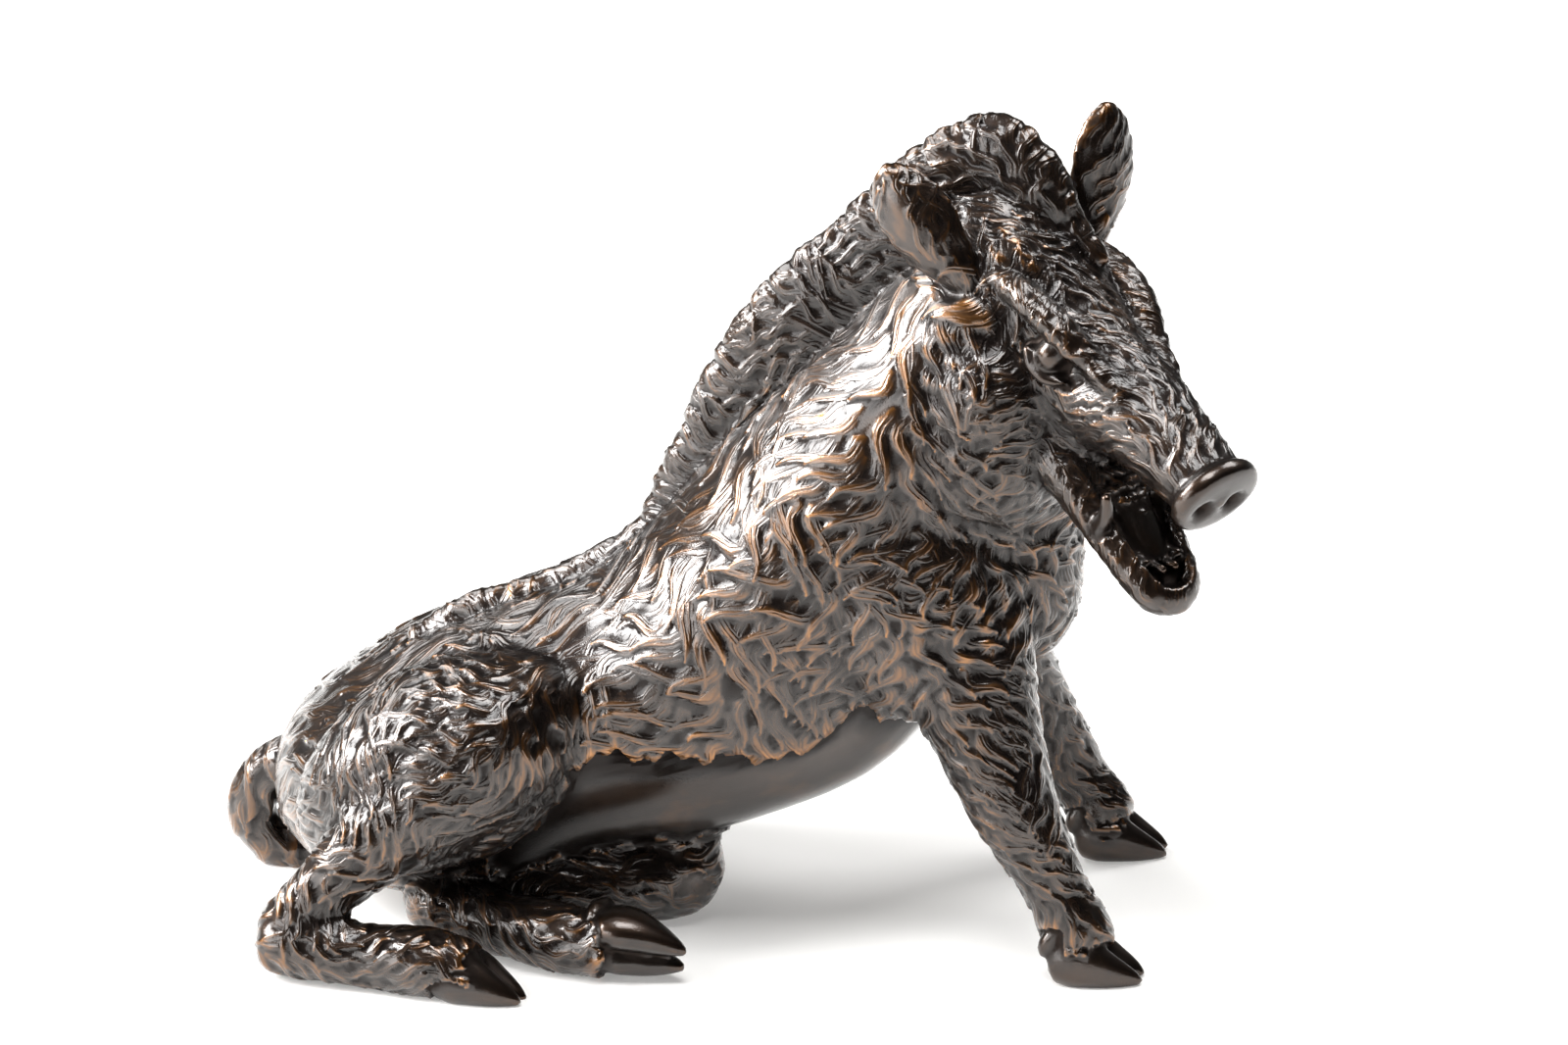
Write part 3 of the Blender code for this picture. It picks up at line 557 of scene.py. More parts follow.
def triangles_of(mesh):
    """The corners of a mesh's triangles, as one array of rows."""
    mesh.calc_loop_triangles()
    corners = np.empty(len(mesh.loop_triangles) * 3, np.int32)
    mesh.loop_triangles.foreach_get("vertices", corners)
    return corners.reshape(-1, 3)


def edges_of(mesh):
    """The two ends of each of a mesh's edges, as two rows of vertex numbers."""
    ends = np.empty(len(mesh.edges) * 2, np.int32)
    mesh.edges.foreach_get("vertices", ends)
    return ends.reshape(-1, 2).T


def form_of(shaped):
    """An object's mesh as a form again, to be joined with others."""
    form = Form(points_of(shaped.data), triangles_of(shaped.data))
    bpy.data.objects.remove(shaped)
    return form


jaw = as_object("jaw", [lower_jaw])
cutter = as_object("jaw_trough", [trough])
cut = jaw.modifiers.new("Trough", "BOOLEAN")
cut.operation = "DIFFERENCE"
cut.object = cutter
bake(jaw)
bpy.data.objects.remove(cutter)

flesh = [trunk, skull] + muscles + cheeks + [jaw_root] + legs
details = [mane, tail, ear(-1), ear(1), snout, tongue] + face_features(-1) + face_features(1) + hooves
body = as_object("flesh", flesh)
run_together(body, FLESH_CELL, FLESH_SMOOTHING)
boar = as_object("boar_cast", [form_of(body), form_of(jaw)] + details)
run_together(boar, SKIN_CELL, SKIN_SMOOTHING)


# The coat: locks of hair cut in the wax, each a bent leaf with a pointed tip that lies over the root of the
# next. They are long and combed on the back, curled on the shoulder, and small on legs and face.

# Each row mixes the form's own direction, the way out to its edge and straight down, then gives a lock's
# length, width and height, how far it curls to the side in widths, and how thick the hair under it lies.
COATS = {
    "flank": (1.0, 0.0, 0.45, 12.0, 3.8, 0.85, 1.0, 1.45),
    "back": (1.0, 0.0, 0.12, 15.0, 3.6, 0.50, 0.6, 1.30),
    "shoulder": (1.0, 0.0, 0.30, 9.5, 3.7, 1.05, 1.1, 1.20),
    "haunch": (0.9, 0.0, 0.60, 8.0, 2.9, 0.80, 1.1, 1.15),
    "breast": (0.9, 0.0, 0.60, 8.0, 3.1, 0.90, 1.1, 1.10),
    "ruff": (0.9, 0.0, 0.60, 8.0, 3.0, 0.90, 1.1, 1.15),
    "mane": (0.40, 1.0, 0.0, 8.5, 2.5, 0.80, 0.8, 0.75),
    "head": (1.0, 0.0, 0.0, 8.5, 2.1, 0.62, 0.5, 0.40),
    "brow": (1.0, 0.0, 0.0, 5.5, 2.0, 0.55, 0.9, 0.30),
    "cheek": (0.8, 0.0, 0.7, 5.5, 2.0, 0.50, 0.6, 0.60),
    "lip": (1.0, 0.0, 0.0, 5.0, 1.8, 0.35, 0.4, 0.35),
    "leg": (1.0, 0.0, 0.2, 8.5, 2.3, 0.62, 0.4, 0.50),
    "tail": (1.0, 0.0, 0.0, 11.0, 3.0, 0.75, 0.8, 0.60),
    "ear": (1.0, 0.0, 0.0, 7.5, 2.0, 0.40, 0.4, 0.15),
    "belly": (1.0, 0.0, 0.0, 0.0, 0.0, 0.0, 0.0, 0.0),
    "horn": (1.0, 0.0, 0.0, 0.0, 0.0, 0.0, 0.0, 0.0),
}
# Roots keep so many lengths and widths apart, and a slow wave over the whole coat turns the locks (radians).
ROOTS_ALONG, ROOTS_ACROSS, ROOTS_THROUGH = 0.50, 0.80, 0.60
WAVE_TURN = 0.50
WAVE_STRAY = 0.10
FEWEST_TRIES = 800
POINTS_PER_TRY = 6
ROOT_OVERLAP = 0.15
FACING_LEAST = 0.15
DEPTH_MOST = 0.6
GUIDE_REACH = 8.0
EASE = 0.6
SEED = 7
draw = np.random.RandomState(SEED)


def runs_near(places, points, reach):
    """Each place with the points in one column of cubes beside it, nine columns in turn.

    The points are sorted into cubes as wide as reach, so that the three cubes of a column lie in one run.
    """
    low = points.min(0) - 2 * reach
    cube = np.floor((points - low) / reach).astype(int)
    home = np.floor((places - low) / reach).astype(int)
    span = np.maximum(cube.max(0), home.max(0)) + 3
    key = (cube[:, 0] * span[1] + cube[:, 1]) * span[2] + cube[:, 2]
    order = np.argsort(key, kind="stable")
    key = key[order]
    for dx in (-1, 0, 1):
        for dy in (-1, 0, 1):
            run = ((home[:, 0] + dx) * span[1] + home[:, 1] + dy) * span[2] + home[:, 2]
            start = np.searchsorted(key, run - 1)
            count = np.searchsorted(key, run + 1, side="right") - start
            step = np.arange(count.sum()) - np.repeat(np.cumsum(count) - count, count)
            yield np.repeat(np.arange(len(places)), count), order[step + np.repeat(start, count)], count


def nearest(points, places, reach, rows=40000):
    """For each point the number of the nearest place, or -1 where none lies within about reach.

    Distance and number are packed into one whole number, so that the least of a run names its place.
    """
    found = np.full(len(points), -1)
    for start in range(0, len(points), rows):
        block = points[start : start + rows]
        least = np.full(len(block), np.iinfo(np.int64).max)
        for first, second, count in runs_near(block, places, reach):
            if not len(first):
                continue
            away = ((block[first] - places[second]) ** 2).sum(1)
            packed = (away * 1000).astype(np.int64) * 2**20 + second
            some = np.flatnonzero(count)
            begins = (np.cumsum(count) - count)[some]
            least[some] = np.minimum(least[some], np.minimum.reduceat(packed, begins))
        near = least < np.iinfo(np.int64).max
        found[start : start + rows][near] = least[near] % 2**20
    return found


mane_guide = loft(mane_rows[::4], -SIDEWAYS, "mane", rings=MANE_RINGS // 4, sides=20)
guides = flesh + [lower_jaw] + [mane_guide if form is mane else form for form in details]
guide_points = np.vstack([form.points for form in guides])
guide_along = np.vstack([form.along for form in guides])
guide_outward = np.vstack([form.outward for form in guides])
coat_names = sorted(COATS)
guide_coat = np.array([coat_names.index(name) for form in guides for name in form.coats])
coat_table = np.array([COATS[name] for name in coat_names])

skin = points_of(boar.data)
skin_normal = points_of(boar.data, "normal")
skin_edges = edges_of(boar.data)
guide_of = nearest(skin, guide_points, GUIDE_REACH)


def mean_beside(values, ends):
    """For each vertex the mean of the values at its neighbours, over a mesh's edges."""
    one, other = ends
    total = np.bincount(one, values[other], len(values)) + np.bincount(other, values[one], len(values))
    return total / np.bincount(ends.ravel(), minlength=len(values))


# Where hair and horn meet, each point goes with most of the points around it, so that the line is clean.
HORN_ROUNDS = 8
horn_coat = coat_names.index("horn")
horn_share = (guide_coat[guide_of] == horn_coat).astype(float)
for _ in range(HORN_ROUNDS):
    horn_share = (1 - EASE) * horn_share + EASE * mean_beside(horn_share, skin_edges)
grows_hair = (guide_coat[guide_of] == horn_coat) & (horn_share < 0.5)
hair_guides = np.flatnonzero(guide_coat != horn_coat)
guide_of[grows_hair] = hair_guides[nearest(skin[grows_hair], guide_points[hair_guides], GUIDE_REACH)]
coat_of = guide_coat[guide_of]
coat_of[horn_share >= 0.5] = horn_coat

# The flank's hair ends in a fringe over the bare belly, at a height of
# FRINGE_HEIGHT + 1.1 sin(0.55 x) + 0.8 sin(1.3 x + 1).
FRINGE_HEIGHT = 44.0
FRINGE_START = -46.0
fringe = FRINGE_HEIGHT + 1.1 * np.sin(0.55 * skin[:, 0]) + 0.8 * np.sin(1.3 * skin[:, 0] + 1)
on_flank = (coat_of == coat_names.index("flank")) & (skin[:, 0] > FRINGE_START)
coat_of[on_flank & (skin[:, 2] < fringe)] = coat_names.index("belly")
sizes_of = coat_table[coat_of, 3:]


def lay_roots(coat):
    """Roots of one coat's locks: points drawn in turn, each kept if no root lies in its oval of neighbours.

    A lock is turned aside by WAVE_TURN sin(0.16 x + 0.11 z + 1.5 sin(0.09 z + 0.05 y)) and a stray share, and
    bends to the same hand as the wave.
    """
    mix, long, wide = coat_table[coat, :3], coat_table[coat, 3], coat_table[coat, 4]
    members = np.flatnonzero(coat_of == coat)
    if long == 0 or not len(members):
        return np.zeros((0, 3, 3)), np.zeros((0, 5)), np.zeros(0, int)
    members = members[np.lexsort(np.round(skin[members].T, 2))]
    members = draw.permutation(members)[: max(FEWEST_TRIES, len(members) // POINTS_PER_TRY)]
    guide = guide_of[members]
    way = mix[0] * guide_along[guide] + mix[1] * guide_outward[guide] - mix[2] * np.array([0, 0, 1.0])
    normal = skin_normal[members]
    way = unit(way - normal * (way * normal).sum(1)[:, None])
    place = skin[members]
    swell = 1.5 * np.sin(0.09 * place[:, 2] + 0.05 * place[:, 1])
    wave = WAVE_TURN * np.sin(0.16 * place[:, 0] + 0.11 * place[:, 2] + swell)
    wave += WAVE_STRAY * draw.randn(len(members))
    aside = np.cross(normal, way)
    turned = way * np.cos(wave)[:, None] + aside * np.sin(wave)[:, None]
    aside = np.cross(normal, turned)
    kept = np.zeros((0, 3))
    chosen = []
    for i in range(len(members)):
        gap = kept - place[i]
        oval = (gap @ turned[i] / (ROOTS_ALONG * long)) ** 2 + (gap @ aside[i] / (ROOTS_ACROSS * wide)) ** 2
        oval += (gap @ normal[i] / (ROOTS_THROUGH * long)) ** 2
        if len(kept) and oval.min() < 1:
            continue
        kept = np.vstack([kept, place[i]])
        chosen.append(i)
    axes = np.stack([turned, aside, normal], 1)[chosen]
    count = len(chosen)
    hand = np.where(wave[chosen] > 0, 1, -1)
    sizes = np.column_stack(
        [
            long * draw.uniform(0.8, 1.25, count),
            wide * draw.uniform(0.85, 1.2, count),
            coat_table[coat, 5] * draw.uniform(0.8, 1.15, count),
            coat_table[coat, 6] * hand * draw.uniform(0.5, 1.2, count),
            -hand * draw.uniform(0.6, 1.1, count),
        ]
    )
    return axes, sizes, members[chosen]


def across_lock(points, lock, axes, sizes, roots):
    """Each point in its lock's own measure: s along it from 0 to 1, and q across it from -1 to 1.

    The middle line bends as c(s) = W (curl (1.5 s² - 0.5 s) + sway sin(2 pi s) / 3), and the half width is
    W / 2 (1 - s^1.7)^0.8, so a lock swells from its root and ends in a point.
    """
    long, wide, _, curl, sway = sizes[lock].T
    gap = points - roots[lock]
    s = (gap * axes[lock, 0]).sum(1) / long
    v = (gap * axes[lock, 1]).sum(1)
    within = np.clip(s, 0, 1)
    middle = wide * (curl * (1.5 * within**2 - 0.5 * within) + sway / 3 * np.sin(2 * math.pi * within))
    slope = wide / long * (curl * (3 * within - 0.5) + sway * 2 * math.pi / 3 * np.cos(2 * math.pi * within))
    half_width = 0.5 * wide * np.clip(1 - within**1.7, 0, 1) ** 0.8 * np.clip((s + 0.2) * 4, 0, 1)
    across = (v - middle) / np.sqrt(1 + slope**2)
    return s, across / np.maximum(half_width, 1e-6), across


# Each point of the skin is raised by the tallest lock over it, by h (0.30 + 0.70 s^0.8) sqrt(1 - q²). A lock
# reaches a little behind its root, and only onto skin that faces its way and lies close under it. Its points
# are looked for within a little more than half its length of its middle.
LOCK_REACH = 0.55
LOCKS_AT_ONCE = 400
locks = [lay_roots(coat) for coat in range(len(coat_names))]
lock_axes = np.concatenate([lock[0] for lock in locks])
lock_sizes = np.concatenate([lock[1] for lock in locks])
lock_root = skin[np.concatenate([lock[2] for lock in locks])]

height = np.zeros(len(skin))
winner = np.full(len(skin), -1)
start = 0
for axes, sizes, members in locks:
    count = len(members)
    if not count:
        continue
    chosen = np.arange(start, start + count)
    start += count
    reach = sizes[:, 0].max() * LOCK_REACH
    middle = lock_root[chosen] + lock_axes[chosen, 0] * lock_sizes[chosen, :1] * 0.5
    for part in np.array_split(np.arange(count), max(1, count // LOCKS_AT_ONCE)):
        runs = list(runs_near(middle[part], skin, reach))
        lock = chosen[part][np.concatenate([run[0] for run in runs])]
        point = np.concatenate([run[1] for run in runs])
        s, q, _ = across_lock(skin[point], lock, lock_axes, lock_sizes, lock_root)
        same_way = (skin_normal[point] * lock_axes[lock, 2]).sum(1)
        depth = np.abs(((skin[point] - lock_root[lock]) * lock_axes[lock, 2]).sum(1))
        inside = (np.abs(q) < 1) & (s > -ROOT_OVERLAP) & (s < 1) & (sizes_of[point, 0] > 0)
        inside &= (same_way > FACING_LEAST) & (depth < DEPTH_MOST * lock_sizes[lock, 0])
        lock, point, s, q = lock[inside], point[inside], s[inside], q[inside]
        dome = np.sqrt(1 - q**2)
        tall = lock_sizes[lock, 2] * (0.30 + 0.70 * np.clip(s, 0, 1) ** 0.8) * dome
        order = np.argsort(tall, kind="stable")
        lock, point, tall = lock[order], point[order], tall[order]
        best = np.zeros(len(skin))
        best_lock = np.full(len(skin), -1)
        best[point] = tall
        best_lock[point] = lock
        higher = best > height
        height[higher] = best[higher]
        winner[higher] = best_lock[higher]

# The hair under the locks thins out evenly from coat to coat, but stops short at bare skin and horn.
UNDER_ROUNDS = 12
haired = (sizes_of[:, 0] > 0).astype(float)
under = sizes_of[:, 4] * haired
haired_beside = np.maximum(mean_beside(haired, skin_edges), 1e-6)
for _ in range(UNDER_ROUNDS):
    under = ((1 - EASE) * under + EASE * mean_beside(under, skin_edges) / haired_beside) * haired
relief = under + height * haired
carved = skin + skin_normal * relief[:, None]

# Nostrils and eyes are drilled: place on the left of the head, radius and depth of each bell-shaped hollow.
HOLLOWS = (((67.0, 3.8, -1.2), 1.9, 2.6), ((30.5, 11.5, 1.2), 3.5, 1.4))
for side in (-1, 1):
    for (ahead, left, up), radius, depth in HOLLOWS:
        away = np.linalg.norm(carved - on_head([(ahead, left * side, up)])[0], axis=1)
        carved -= skin_normal * (depth * np.exp(-((away / radius) ** 2)))[:, None]
carved[:, 2] = np.maximum(carved[:, 2], 0)
boar.data.vertices.foreach_set("co", carved.astype(np.float32).ravel())
boar.data.update()

# Flat stretches need fewer faces than locks do.
CAST_TRIANGLES = 190000
fewer = boar.modifiers.new("Fewer faces", "DECIMATE")
fewer.ratio = CAST_TRIANGLES / len(triangles_of(boar.data))
fewer.use_collapse_triangulate = True
bake(boar)


# The casting is set in place: millimetres to metres, and the middle of its box over the origin.
MIDDLE = np.array([1.5726, -9.7133, 0.0])
MILLIMETRE = 0.001
cast = points_of(boar.data)
cad_low, cad_high = np.array([list(corner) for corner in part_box("boar")]) / MILLIMETRE
cast = np.clip(cast, cad_low + MIDDLE, cad_high + MIDDLE)
cast[:, 2] = np.maximum(cast[:, 2], 0)
corners = triangles_of(boar.data)


# What the patina needs to know: how far each point stands above the skin around it, in millimetres, which
# lock each face belongs to, with its strands, and where the metal is smooth horn.
CARVED_REACH = 1.2
vertex_from = nearest(cast, carved, CARVED_REACH)
face_from = nearest(cast[corners].mean(1), carved, CARVED_REACH)
face_lock = np.where(face_from >= 0, winner[face_from], -1)
corner_lock = np.repeat(face_lock, 3)
corner_point = cast[corners.ravel()]
s, q, across = across_lock(corner_point, np.maximum(corner_lock, 0), lock_axes, lock_sizes, lock_root)
along_mm = s * lock_sizes[np.maximum(corner_lock, 0), 0]
held = corner_lock >= 0

# The strands fade out at a lock's edges, root and tip, and STRAND_STEP gives each lock strands of its own.
STRAND_STEP = 3.7
comb = np.clip((1 - np.abs(q)) * 2.5, 0, 1) * np.clip((s + 0.1) * 4, 0, 1) * np.clip((1 - s) * 3, 0, 1) * held
strand = np.column_stack([across, along_mm, corner_lock * STRAND_STEP]) * held[:, None]

cast_edges = edges_of(boar.data)
normals = points_of(boar.data, "normal")


def eased_by(points, rounds):
    """The points after each has moved EASE of the way to the middle of its neighbours, again and again."""
    for _ in range(rounds):
        beside = np.stack([mean_beside(points[:, k], cast_edges) for k in range(3)], 1)
        points = (1 - EASE) * points + EASE * beside
    return points


# Hands rub the flank and back most, and the crest, brow and lip least. Each row is the share of how far a
# point stands out that counts there, and a shift in millimetres. A crisp rise counts more than a broad one.
RUBBED = {
    "mane": (0.6, -0.05),
    "brow": (0.6, 0.0),
    "lip": (0.6, 0.0),
    "head": (1.0, -0.05),
    "cheek": (1.0, -0.05),
    "flank": (1.0, 0.14),
    "back": (1.0, 0.14),
    "shoulder": (1.0, 0.14),
}
FINE_ROUNDS, BROAD_ROUNDS = 4, 16
FINE_SHARE, BROAD_SHARE = 1.5, 0.30
MOST_OUT = 0.8
fine = ((cast - eased_by(cast, FINE_ROUNDS)) * normals).sum(1)
broad = ((cast - eased_by(cast, BROAD_ROUNDS)) * normals).sum(1)
stands_out = np.minimum(FINE_SHARE * fine + BROAD_SHARE * np.clip(broad, -0.7, 0.2), MOST_OUT)
coat_here = coat_of[np.maximum(vertex_from, 0)]
share, shift = np.array([RUBBED.get(name, (1.0, 0.0)) for name in coat_names])[coat_here].T
stands_out = stands_out * share + shift
bare_horn = (coat_here == horn_coat).astype(float)

boar.data.vertices.foreach_set("co", ((cast - MIDDLE) * MILLIMETRE).astype(np.float32).ravel())
boar.data.update()
boar.data.shade_smooth()
for name, domain, kind, values in (
    ("stands_out", "POINT", "FLOAT", stands_out),
    ("horn", "POINT", "FLOAT", bare_horn),
    ("comb", "CORNER", "FLOAT", comb),
    ("strand", "CORNER", "FLOAT_VECTOR", strand),
):
    layer = boar.data.attributes.new(name, kind, domain)
    layer.data.foreach_set("vector" if kind == "FLOAT_VECTOR" else "value", values.astype(np.float32).ravel())


# The patina: bronze turned brown-black with acids and heat, then waxed. Rubbing has brought the golden brown
# metal through on every raised edge, and the hollows hold the darkest colour and dull old wax.
PATINA_BLACK = "#1D1816"
PATINA_BROWN = "#32261E"
RUBBED_BROWN = "#6C4826"
RUBBED_GOLD = "#AA7030"
HORN_BROWN = "#2A2421"
# Spacing, depths and sizes are in millimetres. Strands and grain are a little coarser than on the real skin,
# so that they show.
STRAND_SPACING = 1.0
STRAND_DEPTH = 0.04
STRAND_STRETCH = (1.1, 0.16, 1.0)
STRAND_WAVER = 9.0
STRAND_WEAR = 0.10
GRAIN_SIZE = 0.35
GRAIN_DEPTH = 0.04
MOTTLE_SIZE = 14.0
MOTTLE_WEAR = 0.7
WORN_FROM, WORN_TO = 0.05, 1.35
DARK_ROUGHNESS, RUBBED_ROUGHNESS = 0.50, 0.30
HORN_SHARE = 0.85
WAX_FROM, WAX_TO = -0.50, 0.22
WAX_IN_HOLLOWS = 0.20
WAX_OFF_HORN = 0.30
WAX_ROUGHNESS = 0.14
WAX_IOR = 1.6


def linear(code):
    """A colour given as sRGB hex, as linear light: c / 12.92, or ((c + 0.055) / 1.055)^2.4 above 0.04045."""
    value = np.array([int(code[k : k + 2], 16) / 255 for k in (1, 3, 5)])
    light = np.where(value <= 0.04045, value / 12.92, ((value + 0.055) / 1.055) ** 2.4)
    return (*light, 1.0)


def add_node(tree, kind, settings=None, inputs=None):
    """One node with its settings, and each input either linked to an output or given a value."""
    node = tree.nodes.new(kind)
    for name, value in (settings or {}).items():
        setattr(node, name, value)
    for name, value in (inputs or {}).items():
        if isinstance(value, bpy.types.NodeSocket):
            tree.links.new(value, node.inputs[name])
        else:
            node.inputs[name].default_value = value
    return node


# Patinated bronze, waxed. The eye sees near-black metal with soft white highlights from the wax, brown and
# then golden lines where locks and edges are rubbed, and dull hollows between them.
bronze = bpy.data.materials.new("patinated bronze, waxed")
bronze.use_nodes = True
tree = bronze.node_tree
shader = tree.nodes["Principled BSDF"]
place = add_node(tree, "ShaderNodeTexCoord").outputs["Object"]
out_mm = add_node(tree, "ShaderNodeAttribute", {"attribute_name": "stands_out"}).outputs["Fac"]
comb_depth = add_node(tree, "ShaderNodeAttribute", {"attribute_name": "comb"}).outputs["Fac"]
horn = add_node(tree, "ShaderNodeAttribute", {"attribute_name": "horn"}).outputs["Fac"]
strand_place = add_node(tree, "ShaderNodeAttribute", {"attribute_name": "strand"}).outputs["Vector"]

mottle = add_node(
    tree,
    "ShaderNodeTexNoise",
    {},
    {"Vector": place, "Scale": 1000 / MOTTLE_SIZE, "Detail": 4.0, "Roughness": 0.55},
).outputs["Fac"]
grain = add_node(
    tree,
    "ShaderNodeTexNoise",
    {},
    {"Vector": place, "Scale": 1000 / GRAIN_SIZE, "Detail": 2.0, "Roughness": 0.5},
).outputs["Fac"]

# Strands: a wave across each lock, sin(2 pi x / STRAND_SPACING + STRAND_WAVER noise), with noise that is
# stretched along the lock.
stretched = add_node(
    tree, "ShaderNodeMapping", {}, {"Vector": strand_place, "Scale": STRAND_STRETCH}
).outputs["Vector"]
waver = add_node(
    tree, "ShaderNodeTexNoise", {}, {"Vector": stretched, "Scale": 1.0, "Detail": 2.0}
).outputs["Fac"]
across_mm = add_node(tree, "ShaderNodeSeparateXYZ", {}, {0: strand_place}).outputs["X"]
phase = add_node(
    tree, "ShaderNodeMath", {"operation": "MULTIPLY"}, {0: across_mm, 1: 2 * math.pi / STRAND_SPACING}
).outputs[0]
phase = add_node(
    tree, "ShaderNodeMath", {"operation": "MULTIPLY_ADD"}, {0: waver, 1: STRAND_WAVER, 2: phase}
).outputs[0]
wave = add_node(tree, "ShaderNodeMath", {"operation": "SINE"}, {0: phase}).outputs[0]
strand_height = add_node(
    tree, "ShaderNodeMath", {"operation": "MULTIPLY"}, {0: wave, 1: comb_depth}
).outputs[0]
strand_bump = add_node(
    tree,
    "ShaderNodeBump",
    {},
    {"Strength": 1.0, "Distance": STRAND_DEPTH * MILLIMETRE, "Height": strand_height},
).outputs["Normal"]
skin_bump = add_node(
    tree,
    "ShaderNodeBump",
    {},
    {"Strength": 0.8, "Distance": GRAIN_DEPTH * MILLIMETRE, "Height": grain, "Normal": strand_bump},
).outputs["Normal"]

# Colour by how far a point stands out, in millimetres, with the strands and the mottling moving the bounds.
worn = add_node(
    tree, "ShaderNodeMath", {"operation": "MULTIPLY_ADD"}, {0: strand_height, 1: STRAND_WEAR, 2: out_mm}
).outputs[0]
worn = add_node(
    tree, "ShaderNodeMath", {"operation": "MULTIPLY_ADD"}, {0: mottle, 1: MOTTLE_WEAR, 2: worn}
).outputs[0]
worn = add_node(
    tree,
    "ShaderNodeMapRange",
    {},
    {"Value": worn, "From Min": WORN_FROM, "From Max": WORN_TO, "To Min": 0.0, "To Max": 1.0},
).outputs["Result"]
ramp_node = add_node(tree, "ShaderNodeValToRGB", {}, {"Fac": worn})
stops = ramp_node.color_ramp.elements
stops[0].position, stops[0].color = 0.10, linear(PATINA_BLACK)
stops[1].position, stops[1].color = 1.0, linear(RUBBED_GOLD)
for position, code in ((0.42, PATINA_BROWN), (0.70, RUBBED_BROWN)):
    stop = stops.new(position)
    stop.color = linear(code)
horn_colour_share = add_node(
    tree, "ShaderNodeMath", {"operation": "MULTIPLY"}, {0: horn, 1: HORN_SHARE}
).outputs[0]
colour = add_node(
    tree,
    "ShaderNodeMix",
    {"data_type": "RGBA"},
    {0: horn_colour_share, 6: ramp_node.outputs["Color"], 7: linear(HORN_BROWN)},
).outputs[2]
rough = add_node(
    tree,
    "ShaderNodeMapRange",
    {},
    {"Value": worn, "From Min": 0.1, "From Max": 0.8, "To Min": DARK_ROUGHNESS, "To Max": RUBBED_ROUGHNESS},
).outputs["Result"]

# Wax: full on what stands out, thin in the hollows, where it is never buffed, and thinner on horn.
hollow_wax = add_node(
    tree,
    "ShaderNodeMapRange",
    {},
    {"Value": out_mm, "From Min": WAX_FROM, "From Max": WAX_TO, "To Min": WAX_IN_HOLLOWS, "To Max": 1.0},
).outputs["Result"]
wax = add_node(
    tree, "ShaderNodeMath", {"operation": "MULTIPLY_ADD"}, {0: horn, 1: -WAX_OFF_HORN, 2: hollow_wax}
).outputs[0]
tree.links.new(wax, shader.inputs["Coat Weight"])
tree.links.new(colour, shader.inputs["Base Color"])
tree.links.new(rough, shader.inputs["Roughness"])
tree.links.new(skin_bump, shader.inputs["Normal"])
tree.links.new(skin_bump, shader.inputs["Coat Normal"])
shader.inputs["Metallic"].default_value = 1.0
shader.inputs["Coat Roughness"].default_value = WAX_ROUGHNESS
shader.inputs["Coat IOR"].default_value = WAX_IOR

boar.data.materials.clear()
boar.data.materials.append(bronze)
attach(boar, "root")
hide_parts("boar")


# The studio: a sheet of pale matt paper laid flat, in a white room that is dim behind the camera. The paper
# glows a little, so that it comes out as white as in the photograph and its shadows stay faint.
FLOOR_WHITE = "#E2E1DF"
FLOOR_HALF = 3.0
FLOOR_GLOW = 0.38
floor_mesh = bpy.data.meshes.new("floor")
floor_corners = np.array([(-1, -1, 0), (1, -1, 0), (1, 1, 0), (-1, 1, 0)]) * FLOOR_HALF
floor_mesh.from_pydata(floor_corners, [], [(0, 1, 2, 3)])
floor = bpy.data.objects.new("floor", floor_mesh)
bpy.context.scene.collection.objects.link(floor)
paper = bpy.data.materials.new("white paper, matt")
paper.use_nodes = True
for name, value in (
    ("Base Color", linear(FLOOR_WHITE)),
    ("Roughness", 0.9),
    ("Specular IOR Level", 0.1),
    ("Emission Color", linear(FLOOR_WHITE)),
    ("Emission Strength", FLOOR_GLOW),
):
    paper.node_tree.nodes["Principled BSDF"].inputs[name].default_value = value
floor_mesh.materials.append(paper)
floor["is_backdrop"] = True

ROOM_FRONT = 0.17
ROOM_BACK = 1.20
ROOM_BRIGHT_WAY = (-0.45, 1.0, 0.9)
world = bpy.data.worlds.new("room")
bpy.context.scene.world = world
world.use_nodes = True
room = world.node_tree
towards = add_node(room, "ShaderNodeTexCoord").outputs["Generated"]
towards_back = add_node(
    room, "ShaderNodeVectorMath", {"operation": "DOT_PRODUCT"}, {0: towards, 1: ROOM_BRIGHT_WAY}
).outputs["Value"]
room_light = add_node(
    room,
    "ShaderNodeMapRange",
    {"interpolation_type": "SMOOTHSTEP"},
    {"Value": towards_back, "From Min": -0.9, "From Max": 1.0, "To Min": ROOM_FRONT, "To Max": ROOM_BACK},
).outputs["Result"]
room.links.new(room_light, room.nodes["Background"].inputs["Strength"])


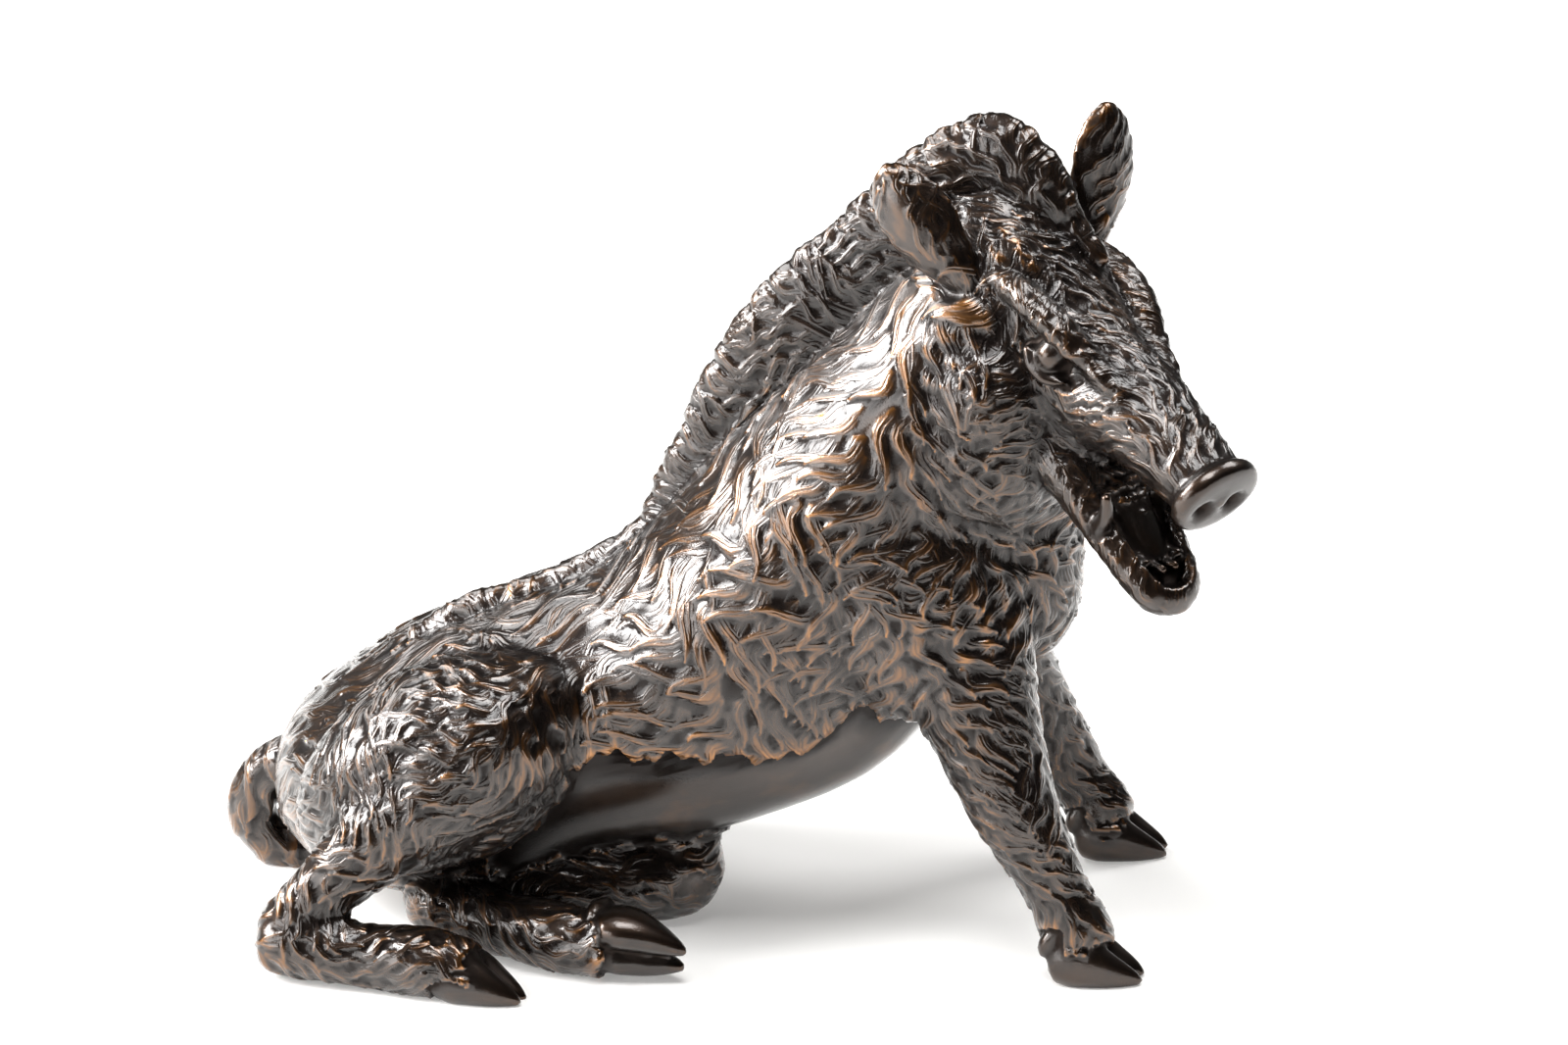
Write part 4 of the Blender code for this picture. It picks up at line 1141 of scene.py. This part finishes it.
# The lamps: five soft boxes. The side one lights the flank and the top one the crest, the back and far ones
# draw the edges of back and forehead, and the weak front one, low on the left, opens the shadows.
LOOK_AT = Vector((11.6 - MIDDLE[0], -9.3 - MIDDLE[1], 86.1)) * MILLIMETRE


def soft_box(name, direction, distance, side, watts):
    """A square area lamp that faces the figure from a direction, so many metres away."""
    lamp = bpy.data.lights.new(name, "AREA")
    lamp.shape = "SQUARE"
    lamp.size = side
    lamp.energy = watts
    box = bpy.data.objects.new(name, lamp)
    box.location = LOOK_AT + Vector(direction).normalized() * distance
    box.rotation_euler = Vector(direction).to_track_quat("Z", "Y").to_euler()
    bpy.context.scene.collection.objects.link(box)


# Direction, distance and width in metres, and power in watts.
soft_box("side soft box", (-0.87, -0.13, 0.47), 1.1, 0.60, 30.0)
soft_box("top soft box", (0.0, -0.26, 0.96), 1.2, 0.60, 15.0)
soft_box("back soft box", (-0.66, 0.44, 0.61), 1.2, 0.55, 7.0)
soft_box("far soft box", (0.43, 0.43, 0.79), 1.2, 0.50, 7.5)
soft_box("front soft box", (-0.70, -0.65, 0.18), 1.3, 0.60, 7.0)


# The camera: a long lens in front of the figure's right side, looking 22 degrees down.
CAMERA_AZIMUTH = math.radians(6.0)
CAMERA_HEIGHT = math.radians(22.0)
CAMERA_DISTANCE = 2.4
CAMERA_LENS = 277.6
to_camera = Vector(
    (
        math.sin(CAMERA_AZIMUTH) * math.cos(CAMERA_HEIGHT),
        -math.cos(CAMERA_AZIMUTH) * math.cos(CAMERA_HEIGHT),
        math.sin(CAMERA_HEIGHT),
    )
)
camera = bpy.data.objects.new("camera", bpy.data.cameras.new("camera"))
bpy.context.scene.collection.objects.link(camera)
camera.location = LOOK_AT + to_camera * CAMERA_DISTANCE
camera.rotation_euler = (-to_camera).to_track_quat("-Z", "Y").to_euler()
camera.data.lens = CAMERA_LENS
camera.data.sensor_width = 36.0
camera.data.clip_start = 0.05
bpy.context.scene.camera = camera
bpy.context.scene.view_settings.view_transform = "Standard"

visual_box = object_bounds()
sizes = {
    "cad": [list(map(float, corner)) for corner in cad_box],
    "visual": [list(map(float, corner)) for corner in visual_box],
}
